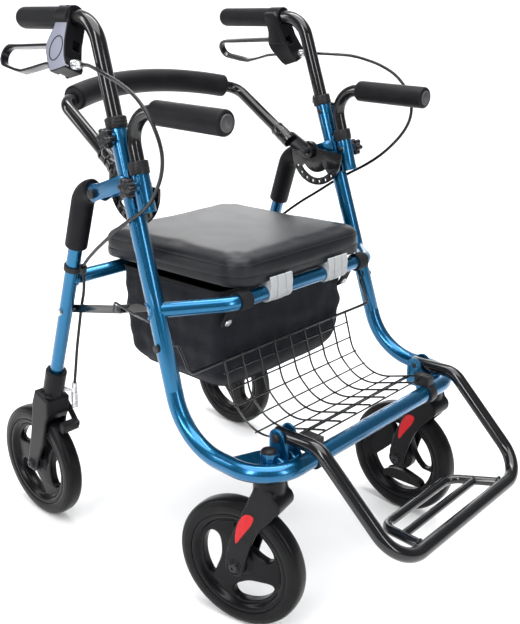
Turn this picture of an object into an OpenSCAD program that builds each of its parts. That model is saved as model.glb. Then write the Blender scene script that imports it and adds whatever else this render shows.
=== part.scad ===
// Folding four-wheeled rollator walker with seat, backrest, bag, basket and footrest.
// Millimetres. +Z up, front (footrest) towards -Y, handles towards +Y, left side at -X.
// Origin on the floor, under the centre of the whole object's box.

/* [Front frame] */
// Outer diameter of the two side tubes and the front hoop
main_d = 25.4; // [25.4:0.1:28]
// Half distance between the side tubes at seat height
main_half_w = 233; // [228:1:236]
// Height of the lower runs and the front crossbar
hoop_z = 266; // [262:1:268]
// How far forward the front crossbar sits
hoop_y = -231; // [-235:1:-228]
// Bend radius between side tube and lower run
hoop_bend_r = 95; // [80:1:100]
// Diameter of the seat bar, the rear legs and the rear crossbar
bar_d = 22; // [20:0.5:22]

/* [Handles and armrests] */
// Outer diameter of the telescopic handle tubes
handle_d = 22; // [22:0.1:22]
// Height of the grip axis
grip_z = 832; // [826:1:836]
// Foam grip diameter
grip_d = 31; // [30:1:34]
// Diameter of the armrest tubes
arm_d = 20; // [19:0.5:20]
// Armrest foam pad diameter
arm_pad_d = 33; // [30:1:34]
// Outward lean of the brake housings
brake_tilt = 22.7; // [20:0.1:24]

/* [Backrest] */
// Height of the backrest pivot
back_pivot_z = 612; // [612:1:614]
// Radius of the slotted quadrant plates
quadrant_r = 54; // [52:1:56]
// Backrest foam diameter
back_pad_d = 38; // [34:1:40]

/* [Seat] */
// Seat width
seat_w = 300; // [290:1:304]
// Seat depth, front edge to rear edge
seat_l = 318; // [310:1:320]
// Padding thickness above the board
seat_pad_t = 36; // [30:1:38]
// Corner radius in plan
seat_corner_r = 38; // [30:1:42]

/* [Wheels] */
// Wheel diameter, all four wheels
wheel_d = 200; // [200:0.5:200]
// Tread width
wheel_w = 30; // [28:0.5:30]
// Distance from the caster stem to the front axle
caster_trail = 44; // [42:1:46]
// Swivel angle at which the left caster stands
caster_yaw_left = 12; // [0:1:12]
// Swivel angle at which the right caster stands
caster_yaw_right = -1; // [-2:1:0]

/* [Footrest] */
// Diameter of the footrest's outer tube
foot_d = 20; // [18:0.5:20]
// Diameter of the platform's inner tube
platform_d = 14; // [12:0.5:15]

/* [Basket, bag and cables] */
// Number of lengthwise basket wires
basket_wires = 9; // [7:1:9]
// Wire diameter of the basket
wire_d = 3.2; // [3:0.1:3.6]
// Width of the bag
bag_w = 300; // [290:1:302]
// Fabric thickness of the bag as a plain shell
bag_wall = 3; // [3:0.5:4]
// Outer diameter of the brake cables
cable_d = 5; // [5:0.5:6]

/* [Hidden] */

fit = 0.08;          // radial running clearance of telescopic tubes
pin_gap = 0.05;      // radial running clearance of pins
gap = 0.4;           // clearance between separate bodies
tube_sides = 20;
wire_sides = 8;
candy_blue = [0.05, 0.36, 0.72];
gloss_black = [0.06, 0.06, 0.07];
foam_black = [0.10, 0.10, 0.11];
vinyl_black = [0.14, 0.14, 0.15];
clip_grey = [0.72, 0.73, 0.74];
cover_grey = [0.62, 0.61, 0.68];
steel = [0.80, 0.80, 0.82];

// ---- reference lines and points, right-hand side ----
function main_axis(z) = [main_half_w - 0.0382 * (z - 420), -26.1 + 0.318 * (z - 420), z];
function arm_axis(z) = [224.3 - 0.0292 * (z - 642.6), 16.5 + 0.28 * (z - 642.6), z];
function leg_axis(z) = [230 - 0.0207 * (z - 510), 172.2 - 0.333 * (z - 490.6), z];
main_top_z = 698;
bore_low_z = 470;
hoop_join_z = 340;
hoop_low = main_axis(hoop_z);
hoop_corner = [238.5, hoop_y, hoop_z - 1];
hoop_corner_r = 60;
handle_low_z = 578;
handle_turn = [217.3, 104.9, grip_z];
handle_tip = [210.4, 284, grip_z];
handle_bend_r = 45;
grip_front = [214.9, 166, grip_z];
grip_len = 123;
sleeve_low_z = 584;
sleeve_top_z = 642;
sleeve_d = 25;
arm_low_z = 590;
arm_turn = [222.1, 37.9, 719];
arm_tip = [219.6, -140, 714.2];
pad_rear = [221.4, -17, 717.5];
pad_len = 129;
leg_pivot = [225.5, 102.5, 598];
leg_turn = leg_axis(600);
leg_low_z = 232;
rear_axle = [238.5, 301.5, wheel_d / 2];
fork_lean = atan(0.333);
stem = [202, -200, 0];
back_pivot = [203, 70, back_pivot_z];
arm_x = 189.5;
back_low = [arm_x, 125, 640];
back_turn = [187.5, 229.6, 710];
back_apex = [0, 303, 749];
back_arc_r = 400;
seat_bar_z = 457;
seat_bar_y = -89;
seat_tilt = -0.8;
foot_pivot = [169, -196, 297];
foot_turn = [171, -260.5, 299];
foot_corner = [165, -391.5, 176.5];
stay_front = [-8, 450];
stay_mid = [81, 425];
stay_rear = [203, 398];
height_knob_z = 680;
arm_knob_z = 620;

// ---- vector and path functions ----
function unit(v) = v / norm(v);
function mx(p) = [-p[0], p[1], p[2]];
function dot3(a, b) = a[0] * b[0] + a[1] * b[1] + a[2] * b[2];
function corner_angle(a, c, b) = acos(dot3(unit(a - c), unit(b - c)));

// Points of the arc that rounds the corner c between a and b with radius r
function fillet(a, c, b, r, step = 11) =
  let (
    u = unit(a - c),
    v = unit(b - c),
    phi = corner_angle(a, c, b),
    o = c + unit(u + v) * r / sin(phi / 2),
    ex = unit(c + u * r / tan(phi / 2) - o),
    ee = unit(c + v * r / tan(phi / 2) - o),
    ey = unit(ee - ex * dot3(ex, ee)),
    turn = 180 - phi,
    n = ceil(turn / step)
  )
  [for (i = [0 : n]) o + r * (cos(turn * i / n) * ex + sin(turn * i / n) * ey)];

// A polyline with each inner corner rounded
function rounded(p, r, step = 11) = concat(
  [p[0]],
  [for (i = [1 : len(p) - 2]) each fillet(p[i - 1], p[i], p[i + 1], r[i - 1], step)],
  [p[len(p) - 1]]
);

// Catmull-Rom points between the given points, k spans for each stretch
function catmull(a, b, c, d, t) =
  0.5 * (2 * b + (c - a) * t + (2 * a - 5 * b + 4 * c - d) * t * t + (3 * b - a - 3 * c + d) * t * t * t);
function smooth(p, k) =
  let (n = len(p) - 1)
  concat(
    [for (i = [0 : n - 1], j = [0 : k - 1])
      catmull(p[max(i - 1, 0)], p[i], p[i + 1], p[min(i + 2, n)], j / k)],
    [p[n]]
  );

function tangent(p, i) = unit(p[min(i + 1, len(p) - 1)] - p[max(i - 1, 0)]);
function square_to(v, t) = unit(v - t * dot3(v, t));
function any_normal(t) = abs(t[0]) < 0.8 ? square_to([1, 0, 0], t) : square_to([0, 0, 1], t);
function normals(p, i = 0, last = []) =
  i == len(p) ? [] :
  let (now = i == 0 ? any_normal(tangent(p, 0)) : square_to(last, tangent(p, i)))
  concat([now], normals(p, i + 1, now));

// Outline of half a rod, rounded at its far end with radius e and at its near end with radius s
function rod_half(r, h, s, e) = concat(
  [[0, 0]],
  s > 0 ? [for (a = [0 : 15 : 90]) [r - s + s * sin(a), s - s * cos(a)]] : [[r, 0]],
  e > 0 ? [for (a = [0 : 15 : 90]) [r - e + e * cos(a), h - e + e * sin(a)]] : [[r, h]],
  [[0, h]]
);

// ---- shared shapes ----
module along(p, q) {
  d = q - p;
  translate(p) rotate([0, acos(d[2] / norm(d)), atan2(d[1], d[0])]) children();
}

module rod(p, q, d) along(p, q) cylinder(h = norm(q - p), d = d, $fn = 48);

// Rod along X between two x values, through (y, z)
module cross_pin(x1, x2, y, z, d) translate([x1, y, z]) rotate([0, 90, 0])
  cylinder(h = x2 - x1, d = d, $fn = 48);

module foam_rod(p, q, d, near_r, far_r) along(p, q)
  rotate_extrude($fn = 64) polygon(rod_half(d / 2, norm(q - p), near_r, far_r));

// Round tube swept along a list of points
module sweep(p, d, sides = tube_sides) {
  n = len(p);
  side = normals(p);
  ring = [for (i = [0 : n - 1]) let (t = tangent(p, i), a = side[i], b = cross(t, a))
    each [for (k = [0 : sides - 1]) p[i] + d / 2 * (cos(360 * k / sides) * a + sin(360 * k / sides) * b)]];
  wall = [for (i = [0 : n - 2], k = [0 : sides - 1]) let (m = (k + 1) % sides)
    [i * sides + k, (i + 1) * sides + k, (i + 1) * sides + m, i * sides + m]];
  caps = [[for (k = [0 : sides - 1]) k], [for (k = [sides - 1 : -1 : 0]) (n - 1) * sides + k]];
  polyhedron(ring, concat(wall, caps), convexity = 10);
}

module on_side(s) if (s < 0) mirror([1, 0, 0]) children(); else children();
module both_sides() for (s = [-1, 1]) on_side(s) children();

// Plate in a YZ plane between two x values
module yz_plate(x1, x2) translate([x1, 0, 0]) rotate([90, 0, 90]) linear_extrude(x2 - x1) children();

// Strap outline with round ends round two points of the YZ plane
module strap_shape(a, b, w) {
  d = b - a;
  translate(a) circle(d = w, $fn = 48);
  translate(b) circle(d = w, $fn = 48);
  translate(a) rotate(atan2(d[1], d[0])) translate([0, 0.2 - w / 2]) square([norm(d), w - 0.4]);
}

module star_knob(x, y, z, d, t, stud_x) {
  difference() {
    union() {
      cross_pin(x, x + t, y, z, d * 0.78);
      for (a = [0 : 60 : 300]) cross_pin(x, x + t, y + 0.36 * d * cos(a), z + 0.36 * d * sin(a), d * 0.28);
    }
    cross_pin(x + t - 2.5, x + t + 1, y, z, d * 0.42);
  }
  cross_pin(stud_x, x + 1, y, z, 8);
}

// ---- front frame ----
module side_tube(s) color(candy_blue) on_side(s) difference() {
  union() {
    rod(main_axis(hoop_join_z), main_axis(main_top_z), main_d);
    cross_pin(main_axis(height_knob_z)[0], 239.4, main_axis(height_knob_z)[1], height_knob_z, 16);
  }
  rod(main_axis(bore_low_z), main_axis(main_top_z + 20), handle_d + 2 * fit);
  cross_pin(main_axis(height_knob_z)[0], 250, main_axis(height_knob_z)[1], height_knob_z, 8 + 2 * pin_gap);
}

module front_hoop() color(candy_blue) {
  r = [main_axis(hoop_join_z), hoop_low, hoop_corner];
  sweep(rounded([r[0], r[1], r[2], mx(r[2]), mx(r[1]), mx(r[0])],
    [hoop_bend_r, hoop_corner_r, hoop_corner_r, hoop_bend_r]), main_d, 24);
}

seat_bar_end = main_axis(450);
module seat_bar() color(candy_blue) difference() {
  sweep(rounded([
    seat_bar_end, [158, seat_bar_y, seat_bar_z], [-158, seat_bar_y, seat_bar_z],
    [-seat_bar_end[0], seat_bar_end[1], seat_bar_end[2]]
  ], [36, 36]), bar_d);
  both_sides() rod(main_axis(400), main_axis(500), main_d);
}

bracket_h = 22;
bracket_t = 2.6;
bracket_in = 211.4;
bracket_out = 237.9;
module leg_brackets() color(candy_blue) both_sides() difference() {
  for (x = [bracket_in, bracket_out]) yz_plate(x, x + bracket_t)
    strap_shape([37, leg_pivot[2] + 23], [leg_pivot[1], leg_pivot[2]], bracket_h);
  rod(main_axis(560), main_axis(660), main_d);
  cross_pin(205, 245, leg_pivot[1], leg_pivot[2], 8);
}

gusset_t = 5;
boss_top_z = 286;
boss_low_z = 250;
stem_d = 16;
ear_t = 3;
module caster_mounts() color(candy_blue) both_sides() {
  difference() {
    union() {
      translate([0, 0, hoop_z - gusset_t / 2]) linear_extrude(gusset_t)
        polygon([[228, -150], [228, -219], [150, -219], [150, -205], [186, -166]]);
      translate([stem[0], stem[1], boss_low_z]) cylinder(h = boss_top_z - boss_low_z, d = 24, $fn = 48);
    }
    translate([stem[0], stem[1], boss_low_z - 5])
      cylinder(h = boss_top_z - boss_low_z + 10, d = stem_d + 2 * pin_gap, $fn = 48);
  }
  difference() {
    for (x = [foot_pivot[0] - 13.6, foot_pivot[0] + 10.8]) yz_plate(x, x + ear_t) union() {
      translate([foot_pivot[1], foot_pivot[2]]) circle(r = 13, $fn = 48);
      polygon([[-183, 297], [-183, 262], [-221, 262], [-209, 297]]);
    }
    cross_pin(140, 200, foot_pivot[1], foot_pivot[2], 8);
  }
}

module arm_sleeves() color(candy_blue) both_sides() difference() {
  union() {
    rod(arm_axis(sleeve_low_z), arm_axis(sleeve_top_z), sleeve_d);
    cross_pin(arm_axis(arm_knob_z)[0], 244, arm_axis(arm_knob_z)[1], arm_knob_z, 15);
  }
  rod(arm_axis(sleeve_low_z - 10), arm_axis(sleeve_top_z + 10), arm_d + 2 * fit);
  cross_pin(arm_axis(arm_knob_z)[0], 250, arm_axis(arm_knob_z)[1], arm_knob_z, 8 + 2 * pin_gap);
}

module tube_collars() color(gloss_black) both_sides() {
  difference() {
    rod(main_axis(690), main_axis(705), 30);
    rod(main_axis(680), main_axis(main_top_z), main_d);
    rod(main_axis(690), main_axis(710), handle_d + 2 * fit);
  }
  difference() {
    rod(arm_axis(sleeve_top_z - 8), arm_axis(sleeve_top_z + 9), 28);
    rod(arm_axis(sleeve_top_z - 20), arm_axis(sleeve_top_z), sleeve_d);
    rod(arm_axis(sleeve_top_z - 20), arm_axis(sleeve_top_z + 20), arm_d + 2 * fit);
  }
}

// Slotted half disc that carries the backrest pivot
plate_x = 201;
plate_t = 4;
plate_centre = [55, 609];
module back_plates() color(gloss_black) both_sides() difference() {
  union() {
    yz_plate(plate_x, plate_x + plate_t) difference() {
      union() {
        translate([back_pivot[1], back_pivot[2]]) circle(r = 18, $fn = 72);
        intersection() {
          translate(plate_centre) circle(r = quadrant_r, $fn = 96);
          polygon([[-20, 540], [-20, 611], [92, 622], [130, 622], [130, 540]]);
        }
      }
      translate(plate_centre) {
        for (a = [-150 : 17 : -30]) rotate(a) translate([quadrant_r - 6, 0]) circle(r = 2.6, $fn = 24);
        difference() {
          circle(r = quadrant_r - 12.5, $fn = 72);
          circle(r = quadrant_r - 22, $fn = 72);
          rotate(-38) translate([-100, 0]) square([200, 100]);
          rotate(50) translate([-100, 0]) square([200, 100]);
        }
      }
    }
    for (z = [594, 608]) cross_pin(plate_x + plate_t, main_axis(z)[0] - 9, main_axis(z)[1] + 1, z, 12);
  }
  cross_pin(180, 240, back_pivot[1], back_pivot[2], 8);
  rod(main_axis(560), main_axis(700), main_d);
}

// Bolts, rivets and nuts that stay in the front frame
module bolt(x1, x2, y, z, d, head_d, head_t) {
  cross_pin(x1, x2, y, z, d);
  cross_pin(x2, x2 + head_t, y, z, head_d);
}
module frame_bolts() color(steel) both_sides() {
  bolt(bracket_in - 3.5, bracket_out + bracket_t, leg_pivot[1], leg_pivot[2], 8, 14, 4);
  cross_pin(stay_in - 2.8, main_axis(450)[0], stay_front[0], stay_front[1], 6);
  cross_pin(stay_in - 2.8, stay_in - 0.3, stay_front[0], stay_front[1], 11);
  bolt(main_axis(401)[0], main_axis(401)[0] + main_d / 2, main_axis(401)[1], 401, 6, 11, 4);
  bolt(foot_pivot[0] - 13.6, foot_pivot[0] + 10.8 + ear_t, foot_pivot[1], foot_pivot[2], 8, 13, 4);
  bolt(arm_x - 5.5, plate_x + plate_t, back_pivot[1], back_pivot[2], 8, 13, 2);
}

module webbing_loops() color(gloss_black) both_sides() translate([136.5, 0, 0]) {
  difference() {
    cross_pin(-11, 11, seat_bar_y, seat_bar_z, bar_d + 6);
    cross_pin(-20, 20, seat_bar_y, seat_bar_z, bar_d + 0.2);
  }
  yz_plate(-10, 10) polygon([[-76.5, 449], [-74.5, 451], [-54.5, 412], [-57.5, 411]]);
  translate([0, -57.5, 419]) rotate([117, 0, 0]) cylinder(h = 3, d = 12, $fn = 32);
}

// ---- bag, basket ----
bag_front_y = -53;
bag_rear_y = 170;
bag_low_z = 298;
bag_top_z = 447;
module bag() color(foam_black) difference() {
  translate([-bag_w / 2, bag_front_y, bag_low_z])
    cube([bag_w, bag_rear_y - bag_front_y, bag_top_z - bag_low_z]);
  translate([-bag_w / 2 + bag_wall, bag_front_y + bag_wall, bag_low_z + bag_wall])
    cube([bag_w - 2 * bag_wall, bag_rear_y - bag_front_y - 2 * bag_wall, bag_top_z]);
}

rod_y = -60;
rod_z = 360;
rod_x = 212;
rod_wire_d = 5;
module basket_rod() color(gloss_black) {
  top = [222.5, -32, 404];
  knee = [214, -40, 398];
  low = [rod_x, rod_y, rod_z];
  sweep(rounded([top, knee, low, mx(low), mx(knee), mx(top)], [6, 9, 9, 6], 18), rod_wire_d, wire_sides);
  both_sides() sweep(rounded([
    [242, -20, 434], [241, 20, 437], [232.5, 76, 441], [231, 84, 424]
  ], [40, 5], 18), 3.6, wire_sides);
}

basket_half = 145;
profile = [[-60, 363], [-79, 298], [-124, 260], [-221, 290]];
profile_r = [50, 60];
cross_wire_d = 2.6;
// Stations of the cross wires along the basket's profile
stations = [[-66, 342], [-73.5, 318], [-85, 297], [-103, 280], [-125, 269.5], [-153, 269.5], [-184, 278.7],
  [-190, 280.5], [-219, 289.4]];
module basket() color(gloss_black) {
  points = [for (p = profile) [0, p[0], p[1]]];
  spacing = 2 * basket_half / (basket_wires - 1);
  drop = (wire_d + cross_wire_d) / 2 - 0.3;
  for (i = [0 : basket_wires - 1]) translate([-basket_half + i * spacing, 0, 0])
    sweep(rounded(points, profile_r, 14), wire_d, wire_sides);
  for (s = stations) {
    towards = unit([-112 - s[0], 345 - s[1]]);
    cross_pin(-basket_half - 4, basket_half + 4, s[0] - towards[0] * drop, s[1] - towards[1] * drop,
      cross_wire_d);
  }
}

module basket_clips() color(foam_black) for (x = [-148, 132]) difference() {
  union() {
    cross_pin(x, x + 16, hoop_y, hoop_corner[2], main_d + 7);
    translate([x, -238, 270]) cube([16, 26, 25]);
  }
  cross_pin(x - 5, x + 21, hoop_y, hoop_corner[2], main_d + 0.02);
  translate([x - 5, -224, 240]) cube([30, 40, 36.5]);
}

// ---- handles ----
module handle_tube(s) color(gloss_black) on_side(s) {
  union() {
    rod(main_axis(handle_low_z), main_axis(790), handle_d);
    sweep(rounded([main_axis(780), handle_turn, handle_tip], [handle_bend_r], 9), handle_d - 0.06, 24);
  }
}

function grip_point(t) = grip_front + (handle_tip - handle_turn) / norm(handle_tip - handle_turn) * t;
module grip(s) color(foam_black) on_side(s) difference() {
  foam_rod(grip_point(0), grip_point(grip_len), grip_d, 3, 13);
  rod(grip_point(-10), handle_tip, handle_d);
}

// Local frame of a brake housing: x outwards, z up along the leaning plate, y to the rear
module brake_frame() translate([217, 0, grip_z]) rotate([0, -brake_tilt, 0]) children();
brake_pivot = [153.8, -50.9];
housing_in = -18;
housing_out = 12;
lever_in = -14;
lever_out = -2;
cover_outline = [[173, 14], [152, 14], [145.5, 8], [144, -6], [139, -36], [131, -57], [124, -66], [124, -72],
  [154, -80], [160, -76], [167, -67], [178, -51], [181, -42], [180, -37], [174, -19], [173.5, -7]];
lever_pocket = [[136.5, -36], [143, -26], [152, -21], [200, -24], [200, -95], [160, -95], [143, -70],
  [136.5, -60]];
module brake_housing(s) color(cover_grey) on_side(s) difference() {
  brake_frame() {
    difference() {
      union() {
        yz_plate(housing_in, housing_out) polygon(cover_outline);
        translate([0, 146, 0]) rotate([-90, 0, 0]) cylinder(h = 27, d = 34, $fn = 48);
      }
      yz_plate(lever_in - 0.5, lever_out + 0.5) polygon(lever_pocket);
    }
    cross_pin(housing_in + 1, housing_out - 1, brake_pivot[0], brake_pivot[1], 6);
  }
  rod(grip_point(-60), grip_point(40), handle_d);
}

// Closed finger loop of flat strip
function arc2(c, r, a0, a1, n) = [for (i = [0 : n]) let (a = a0 + (a1 - a0) * i / n) c + r * [cos(a), sin(a)]];
loop_tip = [296, -56];
function loop_outline(w) = concat(
  [[150, -37 - w], [165, -34 - w], [270, -38.5 - w]],
  arc2(loop_tip, 17 - w, 84, -84, 10),
  [[268, -78 + w], [250, -79.5 + w], [225, -74 + w], [196, -67 + w], [160, -63 + w], [150, -62 + w]]
);
module brake_lever(s) color(gloss_black) on_side(s) brake_frame() difference() {
  union() {
    yz_plate(lever_in, lever_out) union() {
      translate(brake_pivot) circle(r = 14.5, $fn = 48);
      difference() {
        polygon(loop_outline(0));
        difference() {
          polygon(loop_outline(4));
          translate([140, -100]) square([34, 100]);
        }
      }
    }
  }
  cross_pin(lever_in - 1, lever_out + 1, brake_pivot[0], brake_pivot[1], 6 + 2 * pin_gap);
}

adjuster_from = [239.5, 127, 772];
adjuster_to = [240.5, 106, 772.6];
module cable_adjuster(s) color(steel) on_side(s) union() {
  rod(adjuster_from, adjuster_from + 0.6 * (adjuster_to - adjuster_from), 13);
  rod(adjuster_from, adjuster_to, 8);
}

// Route of a brake cable, from the adjuster to the rear brake, held along the frame
cable_route = [
  [240.5, 105.6, 772.6], [244, 88, 773], [256, 62, 772], [268, 36, 770], [274, 8, 764], [276, -22, 755],
  [277, -50, 741], [277, -72, 720], [275, -85, 695], [271, -86, 672], [266, -77, 650], [260, -60, 628],
  [254, -40, 609], [249, -16, 592], [246, 16, 574], [243, 47, 556], [239, 80, 534], [234, 112, 513],
  [229, 143, 490], [224, 161.5, 472], [219, 168, 452], [212, 181, 428], [209, 194, 400], [209, 204, 365],
  [209.5, 214, 325], [210, 221, 290], [210.5, 227, 260]
];
module brake_cable(s) color(gloss_black) on_side(s) sweep(smooth(cable_route, 2), cable_d, wire_sides);

module height_knob(s) color(gloss_black) on_side(s)
  star_knob(239.8, main_axis(height_knob_z)[1], height_knob_z, 30, 12, 234.7);

// ---- armrests ----
module armrest_tube(s) color(gloss_black) on_side(s) union() {
  rod(arm_axis(arm_low_z), arm_axis(668), arm_d);
  sweep(rounded([arm_axis(660), arm_turn, arm_tip], [38], 9), arm_d - 0.06);
}
module armrest_pad(s) color(foam_black) on_side(s) difference() {
  foam_rod(pad_rear, pad_rear + pad_len * unit(arm_tip - arm_turn), arm_pad_d, 5, 2);
  rod(pad_rear - 20 * unit(arm_tip - arm_turn), arm_tip, arm_d);
}
module arm_knob(s) color(gloss_black) on_side(s)
  star_knob(244.4, arm_axis(arm_knob_z)[1], arm_knob_z, 30, 13, 236.2);

// ---- backrest ----
back_start = back_low - 12 * unit(back_turn - back_low);
back_route = [back_start, back_turn, back_apex, mx(back_turn), mx(back_start)];
module backrest_tube() color(gloss_black) sweep(rounded(back_route, [26, back_arc_r, 26], 7), 20);
module backrest_pad() color(foam_black)
  sweep(fillet(back_turn, back_apex, mx(back_turn), back_arc_r, 4), back_pad_d, 24);
arm_plate_x = 193.5;
module backrest_arms() color(gloss_black) both_sides() {
  dir = unit(back_turn - back_low);
  difference() {
    union() {
      yz_plate(arm_plate_x, arm_plate_x + 6) strap_shape([back_pivot[1], back_pivot[2]],
        [back_low[1] - 16, back_low[2] - 9], 24);
      rod(back_low - 24 * dir, back_low + 13 * dir, 25);
    }
    cross_pin(180, 240, back_pivot[1], back_pivot[2], 8 + 2 * pin_gap);
    translate([arm_plate_x + 6.9, 0, 500]) cube([30, 300, 300]);
    rod(back_low - 12 * dir, back_low + 20 * dir, 20);
  }
}

// ---- seat ----
// Local frame of the seat: origin on the seat bar's axis, x right, y to the rear, z up
module seat_frame() translate([0, seat_bar_y, seat_bar_z]) rotate([seat_tilt, 0, 0]) children();
seat_low = 19;
board_t = 6;
module seat_plan(inset) {
  w = seat_w / 2 - inset;
  r = seat_corner_r - inset;
  hull() for (x = [-1, 1], y = [-8 + inset + r, seat_l - 8 - inset - r])
    translate([x * (w - r), y]) circle(r = r, $fn = 48);
}
module seat_board() color(gloss_black) seat_frame() translate([0, 0, seat_low])
  linear_extrude(board_t) seat_plan(6);
module seat_pad() color(vinyl_black) seat_frame() translate([0, 0, seat_low + board_t + 0.1])
  linear_extrude(seat_pad_t) seat_plan(0);
module seat_hinges() color(clip_grey) seat_frame() for (x = [-66.5, 66.5]) difference() {
  union() {
    cross_pin(x - 24, x + 24, 0, 0, bar_d + 6);
    translate([x - 24, -8, 4]) cube([48, 22, seat_low - 4.05]);
  }
  cross_pin(x - 30, x + 30, 0, 0, bar_d + 2 * fit);
}

// ---- rear frame ----
module rear_leg(s) color(candy_blue) on_side(s) difference() {
  union() {
    rod([225.2, 91, 598], [226, 114, 599], bar_d);
    sweep(rounded([[225.4, 97, 598.2], leg_turn, leg_axis(leg_low_z)], [30], 9), bar_d - 0.06, 24);
  }
  cross_pin(190, 260, leg_pivot[1], leg_pivot[2], 8 + 2 * pin_gap);
  cross_pin(190, 260, stay_rear[0], stay_rear[1], 6);
}

module rear_crossbar() color(candy_blue) difference() {
  cross_pin(5 - leg_axis(454)[0], leg_axis(454)[0] - 5, leg_axis(454)[1], 454, bar_d);
  both_sides() rod(leg_axis(400), leg_axis(500), bar_d);
}

module leg_sleeves() color(foam_black) both_sides()
  sweep([for (p = rounded([[225.4, 97, 598.2], leg_turn, leg_axis(508)], [30], 12)) if (p[1] > 116.5) p], 34);

// Local frame of a rear fork: origin on the axle, z up along the leaning leg
module fork_frame() translate(rear_axle) rotate([fork_lean, 0, 0]) children();
arm_gap = wheel_w / 2 + 1.5;
fork_arm_t = 5.5;
shoe_pivot = [-10, 128];
module rear_fork(s) color(gloss_black) on_side(s) difference() {
  union() {
    fork_frame() {
      yz_plate(-arm_gap - fork_arm_t, arm_gap + fork_arm_t) difference() {
        polygon([[-21, 108], [-24, 122], [-19, 150], [19, 150], [22, 122], [19, 108]]);
        translate([60, 103]) circle(r = 28, $fn = 48);
      }
      for (x = [-arm_gap - fork_arm_t, arm_gap]) yz_plate(x, x + fork_arm_t) union() {
        circle(r = 15, $fn = 48);
        polygon([[-13, 6], [-22, 60], [-21, 110], [19, 110], [15, 60], [13, 6]]);
      }
      cross_pin(-arm_gap - fork_arm_t - 4, arm_gap + fork_arm_t + 4, 0, 0, 10);
      cross_pin(-arm_gap - fork_arm_t - 4, -arm_gap - fork_arm_t, 0, 0, 17);
      cross_pin(arm_gap + fork_arm_t, arm_gap + fork_arm_t + 4, 0, 0, 17);
      cross_pin(-arm_gap - fork_arm_t - 6, -arm_gap, shoe_pivot[0], shoe_pivot[1], 6);
    }
    rod(leg_axis(236), leg_axis(286), 35);
  }
  rod(leg_axis(leg_low_z), leg_axis(320), bar_d);
}

// Cable clips on the legs, rear stay pins, brake cable adjusters and springs by the rear forks
module rear_fittings() color(steel) both_sides() {
  difference() {
    union() {
      rod(leg_axis(469), leg_axis(477), bar_d + 5);
      rod([225.2, 158.4, 477.1], [222.8, 164.6, 466.9], 12);
    }
    rod(leg_axis(450), leg_axis(490), bar_d);
    rod([227, 153.7, 484.7], [221, 169.3, 459.3], cable_d + 2.4);
  }
  fork_frame() {
    rod([-28, -30, 130], [-28, -23, 158], 10.5);
    rod([-28, -23, 158], [-28, -20, 175], 8.5);
    rod([-4, 0, 160], [-28, -22.5, 161], 7);
  }
  cross_pin(stay_out - 2.8, 244, stay_rear[0], stay_rear[1], 6);
  cross_pin(stay_out - 2.8, stay_out - 0.3, stay_rear[0], stay_rear[1], 11);
  cross_pin(242.5, 247, stay_rear[0], stay_rear[1], 11);
}

module brake_shoe(s) color(gloss_black) on_side(s) fork_frame() {
  difference() {
    union() {
      yz_plate(-arm_gap - fork_arm_t - 5, -arm_gap - fork_arm_t - 1) strap_shape(shoe_pivot, [-44, 106], 12);
      translate([-arm_gap - fork_arm_t - 5, -49, 97]) cube([32, 12, 16]);
    }
    cross_pin(-60, 60, shoe_pivot[0], shoe_pivot[1], 6 + 2 * pin_gap);
  }
}

// ---- wheels and casters ----
hub_d = 40;
module wheel_half_profile() {
  r = wheel_d / 2;
  w = wheel_w / 2;
  polygon([
    [5 + pin_gap, -w], [hub_d / 2 - 2, -w], [hub_d / 2, -w + 3], [hub_d / 2 + 3, -7], [64, -7], [70, -w + 3],
    [74, -w + 1], [88, -w], [94, -w + 3], [98, -w + 7], [r, -w + 12], [r, w - 12], [98, w - 7],
    [94, w - 3], [88, w], [74, w - 1], [70, w - 3], [64, 7], [hub_d / 2 + 3, 7], [hub_d / 2, w - 3],
    [hub_d / 2 - 2, w], [5 + pin_gap, w]
  ]);
}
// One of the three kidney openings between the spokes
module wheel_opening() polygon(concat(
  arc2([0, 0], 63, 22, 88, 8), arc2([0, 0], 26, 80, 30, 5), arc2([0, 0], 40, 16, 12, 1)
));
module wheel(turn) rotate([90, 0, 90]) difference() {
  rotate_extrude($fn = 96) wheel_half_profile();
  for (a = [0, 120, 240]) rotate(a + turn) translate([0, 0, -20]) linear_extrude(40) wheel_opening();
}
module rear_wheel(s) color(gloss_black) on_side(s) translate(rear_axle) wheel(10);

// Local frame of a caster: origin on the floor under the stem, rear of the wheel towards +Y
module caster_frame(s) translate([s * stem[0], stem[1], 0])
  rotate(s < 0 ? caster_yaw_left : caster_yaw_right) children();
module caster_side() {
  translate([-13, 214]) circle(r = 15, $fn = 48);
  translate([caster_trail, wheel_d / 2]) circle(r = 15.5, $fn = 48);
  polygon([[-21, 222], [-17, 236], [12, 237], [20, 218], [27, 202], [41, 171], [52, 142], [57, 122],
    [59, 101], [29, 99], [26, 112], [19, 137], [10, 160], [-3, 179], [-16, 194], [-22, 208]]);
}
module caster_fork(s) color(gloss_black) caster_frame(s) {
  difference() {
    union() {
      translate([0, 0, 222]) cylinder(h = boss_low_z - gap - 222, d = 44, $fn = 48);
      yz_plate(-arm_gap - fork_arm_t, arm_gap + fork_arm_t) caster_side();
    }
    yz_plate(-arm_gap, arm_gap) {
      translate([caster_trail, wheel_d / 2]) circle(r = 105, $fn = 72);
      translate([-40, 40]) square([200, 156]);
    }
  }
  translate([0, 0, boss_low_z - 2]) cylinder(h = boss_top_z - boss_low_z + 1, d = stem_d, $fn = 48);
  translate([0, caster_trail, wheel_d / 2]) {
    cross_pin(-arm_gap - fork_arm_t - 3, arm_gap + fork_arm_t + 3, 0, 0, 10);
    cross_pin(-arm_gap - fork_arm_t - 3, -arm_gap - fork_arm_t + 0.5, 0, 0, 16);
    cross_pin(arm_gap + fork_arm_t - 0.5, arm_gap + fork_arm_t + 3, 0, 0, 16);
  }
}
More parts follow.
